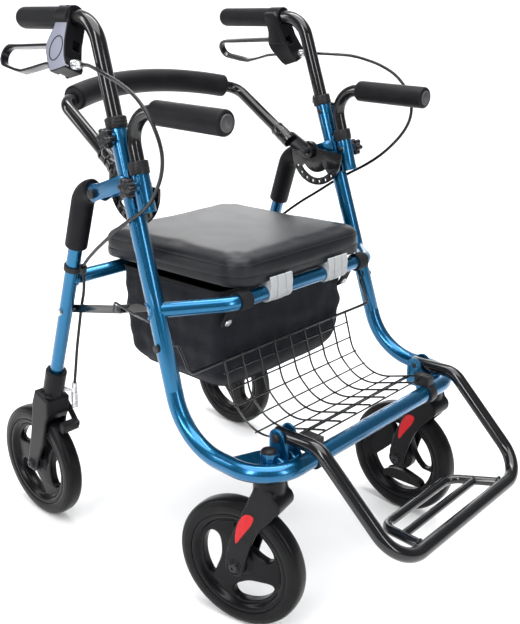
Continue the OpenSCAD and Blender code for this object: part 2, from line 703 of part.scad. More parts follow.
module front_wheel(s) color(gloss_black) caster_frame(s)
  translate([0, caster_trail, wheel_d / 2]) wheel(s < 0 ? -50 : -27);

// ---- fold-locking stays ----
stay_h = 13;
stay_t = 3;
stay_in = 213.6;
stay_out = 217.4;
module front_stays() color(gloss_black) both_sides() difference() {
  union() {
    yz_plate(stay_in, stay_in + stay_t) strap_shape(stay_front, stay_mid, stay_h);
    cross_pin(stay_in - 2.5, stay_in, stay_mid[0], stay_mid[1], 9);
  }
  cross_pin(200, 230, stay_front[0], stay_front[1], 6 + 2 * pin_gap);
}
module rear_stays() color(gloss_black) both_sides() difference() {
  union() {
    yz_plate(stay_out, stay_out + stay_t) strap_shape(stay_rear, stay_mid, stay_h);
    cross_pin(stay_out + stay_t, stay_out + stay_t + 2.5, stay_mid[0], stay_mid[1], 9);
  }
  cross_pin(200, 230, stay_rear[0], stay_rear[1], 6 + 2 * pin_gap);
}

// ---- footrest ----
module footrest_frame() color(gloss_black) difference() {
  union() {
    both_sides() rod([foot_pivot[0], foot_pivot[1] + 12, 297], [foot_pivot[0], foot_pivot[1] - 20, 297.4],
      foot_d);
    sweep(rounded([
      [foot_pivot[0], foot_pivot[1] - 10, 297.2], foot_turn, foot_corner,
      mx(foot_corner), mx(foot_turn), [-foot_pivot[0], foot_pivot[1] - 10, 297.2]
    ], [34, 50, 50, 34]), foot_d - 0.06);
  }
  both_sides() cross_pin(140, 200, foot_pivot[1], foot_pivot[2], 8 + 2 * pin_gap);
}
platform_front = [108, -386, 178];
platform_rear = [88, -312, 164];
module footrest_platform() color(gloss_black) {
  sweep(rounded([platform_front, platform_rear, mx(platform_rear), mx(platform_front)], [24, 24], 14),
    platform_d, 16);
  cross_pin(-97, 97, -349.5, 171, platform_d - 2);
}

side_tube(-1);  // side_tube_left
side_tube(1);  // side_tube_right
front_hoop();
seat_bar();
leg_brackets();
caster_mounts();
arm_sleeves();
tube_collars();
back_plates();
frame_bolts();
webbing_loops();
bag();
basket_rod();
basket();
basket_clips();
handle_tube(-1);  // handle_tube_left
handle_tube(1);  // handle_tube_right
grip(-1);  // grip_left
grip(1);  // grip_right
brake_housing(-1);  // brake_housing_left
brake_housing(1);  // brake_housing_right
cable_adjuster(-1);  // cable_adjuster_left
cable_adjuster(1);  // cable_adjuster_right
brake_lever(-1);  // brake_lever_left
brake_lever(1);  // brake_lever_right
brake_cable(-1);  // brake_cable_left
brake_cable(1);  // brake_cable_right
height_knob(-1);  // height_knob_left
height_knob(1);  // height_knob_right
arm_knob(-1);  // arm_knob_left
arm_knob(1);  // arm_knob_right
armrest_tube(-1);  // armrest_tube_left
armrest_tube(1);  // armrest_tube_right
armrest_pad(-1);  // armrest_pad_left
armrest_pad(1);  // armrest_pad_right
backrest_tube();
backrest_pad();
backrest_arms();
seat_board();
seat_pad();
seat_hinges();
rear_leg(-1);  // rear_leg_left
rear_leg(1);  // rear_leg_right
rear_crossbar();
leg_sleeves();
rear_fork(-1);  // rear_fork_left
rear_fork(1);  // rear_fork_right
rear_fittings();
rear_wheel(-1);  // rear_wheel_left
rear_wheel(1);  // rear_wheel_right
brake_shoe(-1);  // brake_shoe_left
brake_shoe(1);  // brake_shoe_right
caster_fork(-1);  // caster_fork_left
caster_fork(1);  // caster_fork_right
front_wheel(-1);  // front_wheel_left
front_wheel(1);  // front_wheel_right
front_stays();
rear_stays();
footrest_frame();
footrest_platform();
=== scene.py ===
# Looks of the folding four-wheeled rollator walker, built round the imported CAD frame.
import bpy, bmesh, math, random
from mathutils import Matrix, Vector, noise


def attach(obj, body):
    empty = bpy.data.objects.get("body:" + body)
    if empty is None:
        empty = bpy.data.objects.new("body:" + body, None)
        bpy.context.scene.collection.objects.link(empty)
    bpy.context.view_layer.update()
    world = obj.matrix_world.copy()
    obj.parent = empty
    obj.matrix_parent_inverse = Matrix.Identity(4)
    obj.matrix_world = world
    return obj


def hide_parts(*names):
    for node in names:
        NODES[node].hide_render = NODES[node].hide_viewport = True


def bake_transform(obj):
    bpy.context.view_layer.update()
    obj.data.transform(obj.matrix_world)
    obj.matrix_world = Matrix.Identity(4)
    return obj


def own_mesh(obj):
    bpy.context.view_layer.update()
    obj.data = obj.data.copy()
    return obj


scene = bpy.context.scene
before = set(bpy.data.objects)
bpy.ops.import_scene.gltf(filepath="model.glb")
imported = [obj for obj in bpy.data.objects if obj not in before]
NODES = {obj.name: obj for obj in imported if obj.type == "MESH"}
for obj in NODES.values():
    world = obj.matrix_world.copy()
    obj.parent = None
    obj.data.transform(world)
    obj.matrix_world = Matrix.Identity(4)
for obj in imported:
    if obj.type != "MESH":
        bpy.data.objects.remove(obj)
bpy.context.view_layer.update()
MM = 0.001
SIDES = (("left", -1), ("right", 1))
V = Vector

# Sizes shared with the CAD, in mm
MAIN_D, HANDLE_D, ARM_D = 25.4, 22, 20
SEAT_BAR = (0, -89, 457)
GRIP_Z = 832
STEM = (202, -200)
REAR_AXLE = (238.5, 301.5, 100)

BLUE, BLACK = "candy_blue_paint", "gloss_black_paint"


# ---------- camera ----------
cam_data = bpy.data.cameras.new("camera")
cam = bpy.data.objects.new("camera", cam_data)
scene.collection.objects.link(cam)
scene.camera = cam
cam_data.sensor_width = 36
cam_data.lens = 48.55
cam.location = (-0.9449, -0.8663, 0.8365)
cam.rotation_mode = "QUATERNION"
cam.rotation_quaternion = (-V((-0.6942, -0.6380, 0.3333))).to_track_quat("-Z", "Y")
cam_data.clip_end = 50


# ---------- materials ----------
class Mat:
    """A node material under construction. Values are wired from one another."""

    def __init__(self, name, coords="Object"):
        self.m = bpy.data.materials.new(name)
        self.m.use_nodes = True
        self.t = self.m.node_tree
        self.b = self.t.nodes["Principled BSDF"]
        self.co = self.t.nodes.new("ShaderNodeTexCoord").outputs[coords]

    def put(self, node, slot, value):
        if isinstance(value, bpy.types.NodeSocket):
            self.t.links.new(value, node.inputs[slot])
        else:
            node.inputs[slot].default_value = value

    def node(self, kind, out=0, props=(), **inputs):
        n = self.t.nodes.new("ShaderNode" + kind)
        for k, v in dict(props).items():
            setattr(n, k, v)
        for k, v in inputs.items():
            self.put(n, int(k[1:]) if k[0] == "i" and k[1:].isdigit() else k.replace("_", " "), v)
        return n.outputs[out]

    def noise(self, scale, detail=3, rough=0.5, out="Fac"):
        return self.node("TexNoise", out, Vector=self.co, Scale=scale, Detail=detail, Roughness=rough)

    def voronoi(self, scale, feature="F1", out="Distance"):
        return self.node("TexVoronoi", out, {"feature": feature}, Vector=self.co, Scale=scale)

    def wave(self, scale, axis):
        return self.node("TexWave", "Fac", {"bands_direction": axis}, Vector=self.co, Scale=scale, Distortion=0.0)

    def math(self, op, a, b=0.0):
        return self.node("Math", 0, {"operation": op}, i0=a, i1=b)

    def span(self, fac, lo, hi, a=0.0, b=1.0):
        return self.node("MapRange", "Result", i0=fac, i1=a, i2=b, i3=lo, i4=hi)

    def mix(self, fac, a, b):
        n = self.t.nodes.new("ShaderNodeMix")
        n.data_type = "RGBA"
        for i, v in ((0, fac), (6, a), (7, b)):
            self.put(n, i, (*v, 1) if isinstance(v, tuple) else v)
        return n.outputs[2]

    def bump(self, height, strength, distance, after=None):
        n = self.t.nodes.new("ShaderNodeBump")
        n.inputs["Strength"].default_value = strength
        n.inputs["Distance"].default_value = distance
        self.put(n, "Height", height)
        if after is not None:
            self.put(n, "Normal", after)
        return n.outputs[0]

    def done(self, **sockets):
        for k, v in sockets.items():
            v = (*v, 1) if isinstance(v, tuple) and len(v) == 3 else v
            self.put(self.b, k.replace("_", " "), v)
        return self.m


def worn(m, base, lighter, scale):
    """Base colour with faint handling marks, and lighter towards convex edges."""
    marks = m.span(m.noise(scale, 5, 0.6), 0.0, 0.5, 0.35, 0.75)
    edge = m.span(m.node("NewGeometry", "Pointiness"), 0.0, 1.0, 0.505, 0.56)
    return m.mix(m.math("MAXIMUM", marks, m.math("MULTIPLY", edge, 0.8)), base, lighter)


def plastic(name, base, lighter, wear, rough, grain, **more):
    """Lightly worn moulding or paint: rough is (scale, low, high), grain is (scale, detail, strength, depth)."""
    m = Mat(name)
    relief = m.bump(m.noise(*grain[:2]), *grain[2:])
    return m.done(Base_Color=worn(m, base, lighter, wear), Roughness=m.span(m.noise(rough[0], 4), *rough[1:]),
        Normal=relief, **more)


def make_materials():
    out = {}
    m = Mat("candy_blue")
    flake = m.voronoi(2600, out="Color")
    fac = m.math("ADD", m.span(m.noise(9, 2), 0.0, 0.5), m.span(flake, 0.0, 0.3))
    body = m.bump(m.noise(240, 2), 0.05, 0.0004)
    out["blue"] = m.done(Base_Color=m.mix(fac, (0.001, 0.058, 0.165), (0.008, 0.21, 0.40)), Metallic=0.85,
        Roughness=m.span(m.noise(60, 4), 0.22, 0.30), Normal=m.bump(flake, 0.06, 0.0002, body),
        Coat_Weight=0.6, Coat_Roughness=0.04, Coat_Normal=body)

    out["black"] = plastic("black_paint", (0.003, 0.003, 0.004), (0.009, 0.009, 0.010), 24, (45, 0.13, 0.22),
        (420, 2, 0.10, 0.0003), Coat_Weight=0.35, Coat_Roughness=0.05, Specular_IOR_Level=0.4)
    out["moulded"] = plastic("moulded_black", (0.004, 0.004, 0.005), (0.013, 0.013, 0.015), 16, (30, 0.27, 0.38),
        (2400, 3, 0.16, 0.0002), Specular_IOR_Level=0.15)
    out["lever"] = plastic("gloss_moulded", (0.005, 0.005, 0.007), (0.016, 0.016, 0.020), 20, (40, 0.16, 0.26),
        (300, 2, 0.06, 0.0003), Specular_IOR_Level=0.4)
    out["matte"] = plastic("matte_plastic", (0.007, 0.007, 0.008), (0.019, 0.019, 0.021), 20, (35, 0.36, 0.48),
        (1900, 3, 0.3, 0.0002), Specular_IOR_Level=0.25)
    out["grey"] = plastic("grey_plastic", (0.30, 0.31, 0.32), (0.42, 0.43, 0.44), 40, (50, 0.32, 0.45),
        (1500, 3, 0.25, 0.0002), Subsurface_Weight=0.03)
    out["grey_dark"] = plastic("dark_grey", (0.035, 0.036, 0.038), (0.08, 0.08, 0.085), 40, (50, 0.32, 0.45),
        (1500, 3, 0.25, 0.0002))
    out["cover"] = plastic("cover_grey", (0.172, 0.180, 0.239), (0.24, 0.25, 0.31), 34, (40, 0.34, 0.45),
        (1700, 3, 0.2, 0.0002))

    m = Mat("black_foam")
    cells = m.voronoi(1500)
    skin = m.bump(m.noise(55, 3), 0.25, 0.0006)
    out["foam"] = m.done(Base_Color=m.mix(m.span(m.noise(40, 4), 0.0, 1.0, 0.3, 0.8),
        (0.003, 0.003, 0.004), (0.008, 0.008, 0.010)), Roughness=m.span(m.noise(80, 3), 0.42, 0.55),
        Normal=m.bump(cells, 0.4, 0.0003, skin), Specular_IOR_Level=0.16)

    m = Mat("black_vinyl")
    warp = m.node("MixRGB", 0, {"blend_type": "ADD"}, Fac=0.02, Color1=m.co, Color2=m.noise(90, 2, out="Color"))
    grain = m.node("TexVoronoi", "Distance", {"feature": "DISTANCE_TO_EDGE"}, Vector=warp, Scale=520)
    creases = m.span(grain, 0.0, 1.0, 0.0, 0.12)
    soft = m.bump(m.noise(14, 2), 0.25, 0.0015)
    out["vinyl"] = m.done(Base_Color=m.mix(m.span(m.noise(7, 3), 0.0, 1.0, 0.3, 0.7),
        (0.005, 0.006, 0.008), (0.010, 0.011, 0.014)), Roughness=m.span(m.noise(22, 4), 0.36, 0.45),
        Normal=m.bump(creases, 0.28, 0.0002, soft), Specular_IOR_Level=0.30)

    m = Mat("woven_black")
    warp, weft, depth = m.wave(420, "X"), m.wave(420, "Z"), m.wave(420, "Y")
    weave = m.math("ADD", m.math("MULTIPLY", warp, weft), m.math("MULTIPLY", depth, 0.5))
    folds = m.bump(m.noise(26, 3), 0.4, 0.003)
    out["fabric"] = m.done(Base_Color=m.mix(m.math("MULTIPLY", weave, m.span(m.noise(12, 3), 0.4, 1.0)),
        (0.003, 0.004, 0.007), (0.010, 0.012, 0.018)), Roughness=m.span(m.noise(60, 3), 0.6, 0.75),
        Normal=m.bump(weave, 0.5, 0.0003, folds), Specular_IOR_Level=0.2, Sheen_Weight=0.04, Sheen_Roughness=0.4)

    m = Mat("black_webbing")
    ribs = m.math("ADD", m.wave(330, "X"), m.math("MULTIPLY", m.noise(900, 2), 0.5))
    out["webbing"] = m.done(Base_Color=m.mix(ribs, (0.004, 0.004, 0.005), (0.012, 0.012, 0.014)),
        Roughness=m.span(m.noise(70, 3), 0.6, 0.75), Normal=m.bump(ribs, 0.6, 0.0004), Specular_IOR_Level=0.2)

    m = Mat("wheel_black")
    scuff = m.noise(26, 6, 0.65)
    out["wheel"] = m.done(Base_Color=worn(m, (0.003, 0.003, 0.004), (0.010, 0.010, 0.011), 12),
        Roughness=m.span(scuff, 0.20, 0.32), Normal=m.bump(m.noise(700, 3), 0.10, 0.0003), Specular_IOR_Level=0.13)

    m = Mat("tyre_black")
    scuff = m.noise(40, 6, 0.65)
    out["tyre"] = m.done(Base_Color=m.mix(m.span(scuff, 0.0, 1.0, 0.4, 0.8), (0.004, 0.004, 0.005),
        (0.009, 0.009, 0.009)), Roughness=m.span(scuff, 0.25, 0.38), Normal=m.bump(m.noise(900, 3), 0.15, 0.0003),
        Specular_IOR_Level=0.13)

    m = Mat("plated_steel")
    scratch = m.noise(320, 5, 0.7)
    out["steel"] = m.done(Base_Color=m.mix(m.noise(50, 3), (0.50, 0.50, 0.52), (0.72, 0.72, 0.73)), Metallic=1.0,
        Roughness=m.span(scratch, 0.18, 0.36), Normal=m.bump(scratch, 0.08, 0.0002))

    m = Mat("black_bolt")
    scratch = m.noise(300, 5, 0.7)
    out["bolt"] = m.done(Base_Color=m.mix(m.noise(60, 3), (0.02, 0.02, 0.022), (0.06, 0.06, 0.065)), Metallic=0.8,
        Roughness=m.span(scratch, 0.22, 0.4), Normal=m.bump(scratch, 0.1, 0.0002))

    m = Mat("cable_sheath")
    out["cable"] = m.done(Base_Color=m.mix(m.noise(30, 3), (0.004, 0.004, 0.005), (0.010, 0.010, 0.011)),
        Specular_IOR_Level=0.35, Roughness=m.span(m.noise(90, 3), 0.2, 0.32),
        Normal=m.bump(m.noise(700, 2), 0.08, 0.0002))

    # The reflector's faint red emission is a painted glow: it lights itself though it is no lamp.
    m = Mat("red_reflector")
    prism = m.node("TexVoronoi", "Distance", {"feature": "F1", "distance": "CHEBYCHEV"}, Vector=m.co, Scale=420,
        Randomness=0.0)
    out["red"] = m.done(Base_Color=m.mix(prism, (0.38, 0.0, 0.006), (0.66, 0.008, 0.012)),
        Roughness=m.span(m.noise(60, 3), 0.12, 0.22), Normal=m.bump(prism, 0.3, 0.0005), Specular_IOR_Level=0.3,
        Emission_Color=(0.8, 0.0, 0.01), Emission_Strength=0.05)

    m = Mat("pale_floor")
    out["floor"] = m.done(Base_Color=m.mix(m.noise(3, 3), (0.90, 0.90, 0.90), (0.93, 0.93, 0.93)),
        Roughness=m.span(m.noise(8, 3), 0.75, 0.85))
    return out


MATS = make_materials()


# ---------- making pieces; all lengths in millimetres ----------
def piece(name, verts, faces, mat, body=None, stands_for=(), slot=None, sharp=38):
    mesh = bpy.data.meshes.new(name)
    mesh.from_pydata([V(v) * MM for v in verts], [], faces)
    bm = bmesh.new()
    bm.from_mesh(mesh)
    bmesh.ops.remove_doubles(bm, verts=bm.verts, dist=1e-6)
    bmesh.ops.recalc_face_normals(bm, faces=bm.faces)
    for f in bm.faces:
        f.smooth = True
    for e in bm.edges:
        if len(e.link_faces) == 2 and e.calc_face_angle(0) > math.radians(sharp):
            e.smooth = False
    bm.to_mesh(mesh)
    bm.free()
    o = bpy.data.objects.new(name, mesh)
    scene.collection.objects.link(o)
    mesh.materials.append(MATS[mat])
    if stands_for:
        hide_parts(*stands_for)
    if body:
        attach(o, body)
    return o


def on_side(s, p):
    """A point given for the right side, taken to side s (-1 is left)."""
    return V((s * p[0], p[1], p[2]))


def side_of(s, points):
    return [on_side(s, p) for p in points]


def side_frame(s, *origin):
    """Mirrored placement for parts drawn on the right side."""
    return Matrix.Diagonal((s, 1, 1, 1)) @ Matrix.Translation(origin)


def turns(n):
    """n equal angles round a circle."""
    return [2 * math.pi * i / n for i in range(n)]


def fillet(a, c, b, r, step=3.0):
    a, c, b = V(a), V(c), V(b)
    u, w = (a - c).normalized(), (b - c).normalized()
    phi = u.angle(w)
    o = c + (u + w).normalized() * (r / math.sin(phi / 2))
    ex = (c + u * (r / math.tan(phi / 2)) - o).normalized()
    ee = (c + w * (r / math.tan(phi / 2)) - o).normalized()
    ey = (ee - ex * ex.dot(ee)).normalized()
    turn = math.pi - phi
    n = max(2, math.ceil(math.degrees(turn) / step))
    return [o + r * (math.cos(turn * i / n) * ex + math.sin(turn * i / n) * ey) for i in range(n + 1)]


def rounded(p, rs, step=3.0):
    out = [V(p[0])]
    for i, r in enumerate(rs):
        out += fillet(p[i], p[i + 1], p[i + 2], r, step)
    return out + [V(p[-1])]


def spline(p, k=6, closed=False):
    p = [V(q) for q in p]
    n = len(p)
    out = []
    for i in range(n if closed else n - 1):
        if closed:
            a, b, c, d = p[(i - 1) % n], p[i], p[(i + 1) % n], p[(i + 2) % n]
        else:
            a, b, c, d = p[max(i - 1, 0)], p[i], p[i + 1], p[min(i + 2, n - 1)]
        for j in range(k):
            t = j / k
            out.append(0.5 * (2 * b + (c - a) * t + (2 * a - 5 * b + 4 * c - d) * t * t
                + (3 * b - a - 3 * c + d) * t ** 3))
    return out if closed else out + [p[-1]]


def smooth_outline(points, k):
    """Closed outline of (y, z) through the given points."""
    return [(p.x, p.y) for p in spline([(y, z, 0) for y, z in points], k, closed=True)]


def resample(p, step):
    out, left = [p[0]], step
    for a, b in zip(p, p[1:]):
        d = (b - a).length
        while left < d:
            out.append(a.lerp(b, left / d))
            left += step
        left -= d
    if (out[-1] - p[-1]).length < step * 0.4:
        out.pop()
    return out + [p[-1]]


def tube_data(path, radius, sides=32, closed=False, end_r=0.6):
    """Vertices and faces of a round tube along a path. radius may be a function of (i, n, angle)."""
    path = [V(p) for p in path]
    n = len(path)
    if not closed and end_r > 0:
        t0, t1 = (path[1] - path[0]).normalized(), (path[-1] - path[-2]).normalized()
        ins = [end_r * (1 - math.cos(math.radians(x))) for x in (22, 45, 68, 90)]
        cut = [end_r * (1 - math.sin(math.radians(x))) for x in (22, 45, 68, 90)]
        path = ([path[0]] + [path[0] + t0 * i for i in ins] + path[1:-1]
            + [path[-1] - t1 * i for i in reversed(ins)] + [path[-1]])
        trims = [end_r] + cut + [0.0] * (n - 2) + list(reversed(cut)) + [end_r]
        n = len(path)
    else:
        trims = [0.0] * n
    tang = []
    for i in range(n):
        a = path[(i - 1) % n] if closed else path[max(i - 1, 0)]
        b = path[(i + 1) % n] if closed else path[min(i + 1, n - 1)]
        tang.append((b - a).normalized())
    side = V((1, 0, 0)) if abs(tang[0].x) < 0.8 else V((0, 0, 1))
    verts = []
    for i in range(n):
        side = (side - tang[i] * side.dot(tang[i])).normalized()
        other = tang[i].cross(side)
        for ang in turns(sides):
            r = (radius(i, n, ang) if callable(radius) else radius) - trims[i]
            verts.append(path[i] + r * (math.cos(ang) * side + math.sin(ang) * other))
    return verts, skin(n, sides, closed=closed)


def skin(rings, n, start=True, end=True, closed=False):
    """Quads between successive rings of n points, with a face over the first and last ring if asked."""
    faces = []
    for i in range(rings if closed else rings - 1):
        j = (i + 1) % rings
        for k in range(n):
            m = (k + 1) % n
            faces.append((i * n + k, i * n + m, j * n + m, j * n + k))
    if start and not closed:
        faces.append(tuple(reversed(range(n))))
    if end and not closed:
        faces.append(tuple((rings - 1) * n + k for k in range(n)))
    return faces


def join(parts):
    verts, faces = [], []
    for v, f in parts:
        k = len(verts)
        verts += list(v)
        faces += [tuple(i + k for i in q) for q in f]
    return verts, faces


def tube(name, path, d, mat, body, stands_for=(), slot=None, sides=36, **kw):
    return piece(name, *tube_data(path, d / 2, sides, **kw), mat, body, stands_for, slot)


def lathe_data(p, q, profile, seg=64):
    """Profile of (radius, distance from p towards q), turned about the line p to q."""
    p, q = V(p), V(q)
    axis = (q - p).normalized()
    ex = (V((1, 0, 0)) if abs(axis.x) < 0.8 else V((0, 1, 0)))
    ex = (ex - axis * ex.dot(axis)).normalized()
    ey = axis.cross(ex)
    verts = [p + axis * h + max(r, 0.001) * (math.cos(a) * ex + math.sin(a) * ey) for r, h in profile
        for a in turns(seg)]
    return verts, skin(len(profile), seg)


def lathe(name, p, q, profile, mat, body, seg=64, **kw):
    return piece(name, *lathe_data(p, q, profile, seg), mat, body, **kw)


def puck(r, h0, h1, e):
    """Disc profile between two heights with rounded rims."""
    arc = [math.pi / 2 * i / 5 for i in range(6)]
    low = [(r - e + e * math.sin(a), h0 + e * (1 - math.cos(a))) for a in arc]
    high = [(r - e + e * math.cos(a), h1 - e * (1 - math.sin(a))) for a in arc]
    return [(0, h0)] + low + high + [(0, h1)]


def slab(name, outline, x0, x1, matrix, bevel, mat, body, holes=(), **kw):
    """A plate with rounded edges: an outline in local (y, z), between two local x values, set by matrix (mm)."""
    cu = bpy.data.curves.new(name, "CURVE")
    cu.dimensions, cu.fill_mode = "2D", "BOTH"
    for loop in (outline, *holes):
        sp = cu.splines.new("POLY")
        sp.points.add(len(loop) - 1)
        for pt, co in zip(sp.points, loop):
            pt.co = (co[0], co[1], 0, 1)
        sp.use_cyclic_u = True
    half = (x1 - x0) / 2
    cu.extrude, cu.bevel_depth, cu.bevel_resolution, cu.offset = half - bevel, bevel, 3, -bevel
    tmp = bpy.data.objects.new("tmp", cu)
    scene.collection.objects.link(tmp)
    bpy.context.view_layer.update()
    me = bpy.data.meshes.new_from_object(tmp.evaluated_get(bpy.context.evaluated_depsgraph_get()))
    place = matrix @ Matrix(((0, 0, 1, (x0 + x1) / 2), (1, 0, 0, 0), (0, 1, 0, 0), (0, 0, 0, 1)))
    verts = [place @ v.co for v in me.vertices]
    faces = [tuple(f.vertices) for f in me.polygons]
    bpy.data.objects.remove(tmp)
    bpy.data.curves.remove(cu)
    bpy.data.meshes.remove(me)
    return piece(name, verts, faces, mat, body, sharp=50, **kw)


def socket_screw(name, at, out, r, mat, body, h=3.0):
    """A button-head screw with a socket, its head standing from `at` along `out`."""
    at, out = V(at), V(out).normalized()
    prof = [(0, -0.4), (r, -0.4), (r, h * 0.35), (r * 0.92, h * 0.7), (r * 0.72, h * 0.95), (r * 0.5, h),
        (r * 0.42, h), (r * 0.40, h - 0.5), (r * 0.38, h * 0.35), (0, h * 0.3)]
    return piece(name, *lathe_data(at, at + out, prof, 32), mat, body, sharp=30)


def bevel_node(name, width, mat):
    o = NODES[name]
    dress(o, mat)
    w = o.modifiers.new("weld", "WELD")
    w.merge_threshold = 2e-6
    b = o.modifiers.new("bevel", "BEVEL")
    b.width, b.segments, b.limit_method, b.angle_limit = width * MM, 3, "ANGLE", math.radians(40)
    b.harden_normals = True
    for p in o.data.polygons:
        p.use_smooth = True


def melt_node(name, voxel, passes, mat):
    """Softens a moulded CAD node: a fine remesh, then smoothing."""
    o = NODES[name]
    dress(o, mat)
    r = o.modifiers.new("remesh", "REMESH")
    r.mode, r.voxel_size, r.use_smooth_shade = "VOXEL", voxel * MM, True
    c = o.modifiers.new("soften", "SMOOTH")
    c.factor, c.iterations = 0.5, passes


def dress(o, mat):
    o.data.materials.clear()
    o.data.materials.append(MATS[mat])


# ---------- reference lines, as in the CAD ----------
def main_axis(z):
    return V((233 - 0.0382 * (z - 420), -26.1 + 0.318 * (z - 420), z))


def arm_axis(z):
    return V((224.3 - 0.0292 * (z - 642.6), 16.5 + 0.28 * (z - 642.6), z))


def leg_axis(z):
    return V((230 - 0.0207 * (z - 510), 172.2 - 0.333 * (z - 490.6), z))


def mx(p):
    return on_side(-1, p)


def bead(name, path, sizes, sides, body):
    """A closed ring of weld whose radius runs through the given sizes."""
    ring = tube_data(path, lambda i, n, a: sizes[i % len(sizes)], sides, closed=True)
    piece(name, *ring, "blue", body, slot=BLUE)


def weld_bead(name, p, d, r, q, e, big_r, body, s):
    """A bead where a rod (point p, direction d, radius r) meets a tube (point q, direction e, radius big_r)."""
    d, e, p, q = V(d).normalized(), V(e).normalized(), V(p), V(q)
    u = d.orthogonal().normalized()
    w = d.cross(u)
    pts = []
    for a in turns(48):
        base = p + r * (math.cos(a) * u + math.sin(a) * w)
        t = 0.0
        for _ in range(40):
            x = base + d * t - q
            gap = (x - e * x.dot(e)).length - big_r
            t += gap * 0.8
            if abs(gap) < 1e-3:
                break
        pts.append(base + d * t)
    rng = random.Random(len(name) * 7 + int(s))
    sizes = [1.7 + 0.5 * math.sin(i * 1.9) + rng.uniform(-0.2, 0.2) for i in range(48)]
    bead(name, side_of(s, pts), sizes, 10, body)


# ---------- front frame ----------
def front_frame():
    r = [main_axis(340), main_axis(266), V((238.5, -231, 265))]
    path = rounded([*r, *[mx(p) for p in reversed(r)]], [95, 60, 60, 95])
    tube("hoop", path, MAIN_D, "blue", "frame", ["front_hoop"], BLUE, sides=48, end_r=0)
    e = main_axis(450)
    bend = V((158, *SEAT_BAR[1:]))
    path = rounded([e, bend, mx(bend), mx(e)], [36, 36])
    tube("seat_bar_tube", path, HANDLE_D, "blue", "frame", ["seat_bar"], BLUE, sides=40, end_r=0)
    for side, s in SIDES:
        weld_bead(f"weld_seat_bar_{side}", e, bend - e, 11, main_axis(420), main_axis(500) - main_axis(420), 12.9,
            "frame", s)
        for i, dx in enumerate((-9.5, 9.5)):
            line = [main_axis(z).lerp(arm_axis(z), 0.5) + V((dx, 0, 0)) for z in range(588, 641, 4)]
            rng = random.Random(i)
            tube(f"weld_sleeve_{side}_{i}", side_of(s, line), 4.5 + rng.random() * 0.3, "blue", "frame", slot=BLUE,
                sides=10, end_r=1.5)
        ring = [V((STEM[0] + 12.3 * math.cos(a), STEM[1] + 12.3 * math.sin(a), 269.5)) for a in turns(40)]
        bead(f"weld_boss_{side}", side_of(s, ring), [1.6 + 0.5 * math.sin(i * 2.1) for i in range(40)], 8, "frame")
        dome = [(0, -0.4), (10.6, -0.4), (11.2, 0.4), (11.2, 1.8), (10.4, 2.9), (8.4, 4.0), (5.0, 5.0), (0, 5.5)]
        lathe(f"boss_cap_{side}", (s * STEM[0], STEM[1], 285.6), (s * STEM[0], STEM[1], 300), dome, "moulded",
            "frame", slot="gloss_black_plastic")
        button = [(0, 0), (4.59, 0), (4.59, 1.0), (3.24, 2.0), (0, 2.3)]
        for tag, at, r in (("height", main_axis(680), 12.7), ("arm", arm_axis(620), 12.5)):
            p = on_side(s, at - V((r - 0.4, 0, 0)))
            lathe(f"inner_bolt_{tag}_{side}", p, p + V((-s, 0, 0)), button, "bolt", "frame", slot="zinc_steel",
                seg=32)
        tab = [(-5, -6), (5, -6), (5, 5), (2.5, 7.5), (-2.5, 7.5), (-5, 5)]
        for tag, z, collar_d, axis, ribs in (("main", 698, 30.6, main_axis, (-4, 0, 4)),
                ("arm", 642, 28.6, arm_axis, (-1, 2.2, 5.4))):
            c = axis(z)
            face = (Matrix.Translation((s * c.x, c.y + collar_d / 2 - 1.2, c.z))
                @ Matrix.Rotation(math.radians(90), 4, "Z"))
            slab(f"collar_tab_{tag}_{side}", tab, 0, 2.6, face, 0.7, "matte", "frame", slot="black_plastic")
            r = collar_d / 2 - 0.3
            rib = [(r - 1, 0), (r + 0.5, 0.1), (r + 0.7, 0.6), (r + 0.5, 1.1), (r - 1, 1.2)]
            for j, dz in enumerate(ribs):
                a, b = side_of(s, (axis(z + dz), axis(z + dz + 1.2)))
                lathe(f"collar_rib_{tag}_{side}_{j}", a, b, rib, "matte", "frame", slot="black_plastic", seg=48)
    for name, width, mat in (("side_tube_left", 0.5, "blue"), ("side_tube_right", 0.5, "blue"),
            ("arm_sleeves", 0.5, "blue"), ("leg_brackets", 0.8, "blue"), ("caster_mounts", 0.9, "blue"),
            ("tube_collars", 0.9, "matte"), ("back_plates", 0.7, "black"), ("frame_bolts", 0.8, "bolt"),
            ("basket_clips", 1.6, "matte"), ("webbing_loops", 0.8, "webbing")):
        bevel_node(name, width, mat)


def rounded_plan(w, y0, y1, r, n=12):
    """Outline of a rectangle 2 w wide with corners of radius r, n steps each."""
    out = []
    for cx, cy, a0 in ((w - r, y1 - r, 0), (-w + r, y1 - r, 90), (-w + r, y0 + r, 180), (w - r, y0 + r, 270)):
        for i in range(n + 1):
            a = math.radians(a0 + 90 * i / n)
            out.append(V((cx + r * math.cos(a), cy + r * math.sin(a), 0)))
    return out


# ---------- bag ----------
BAG_MID = V((0, 60, 0))


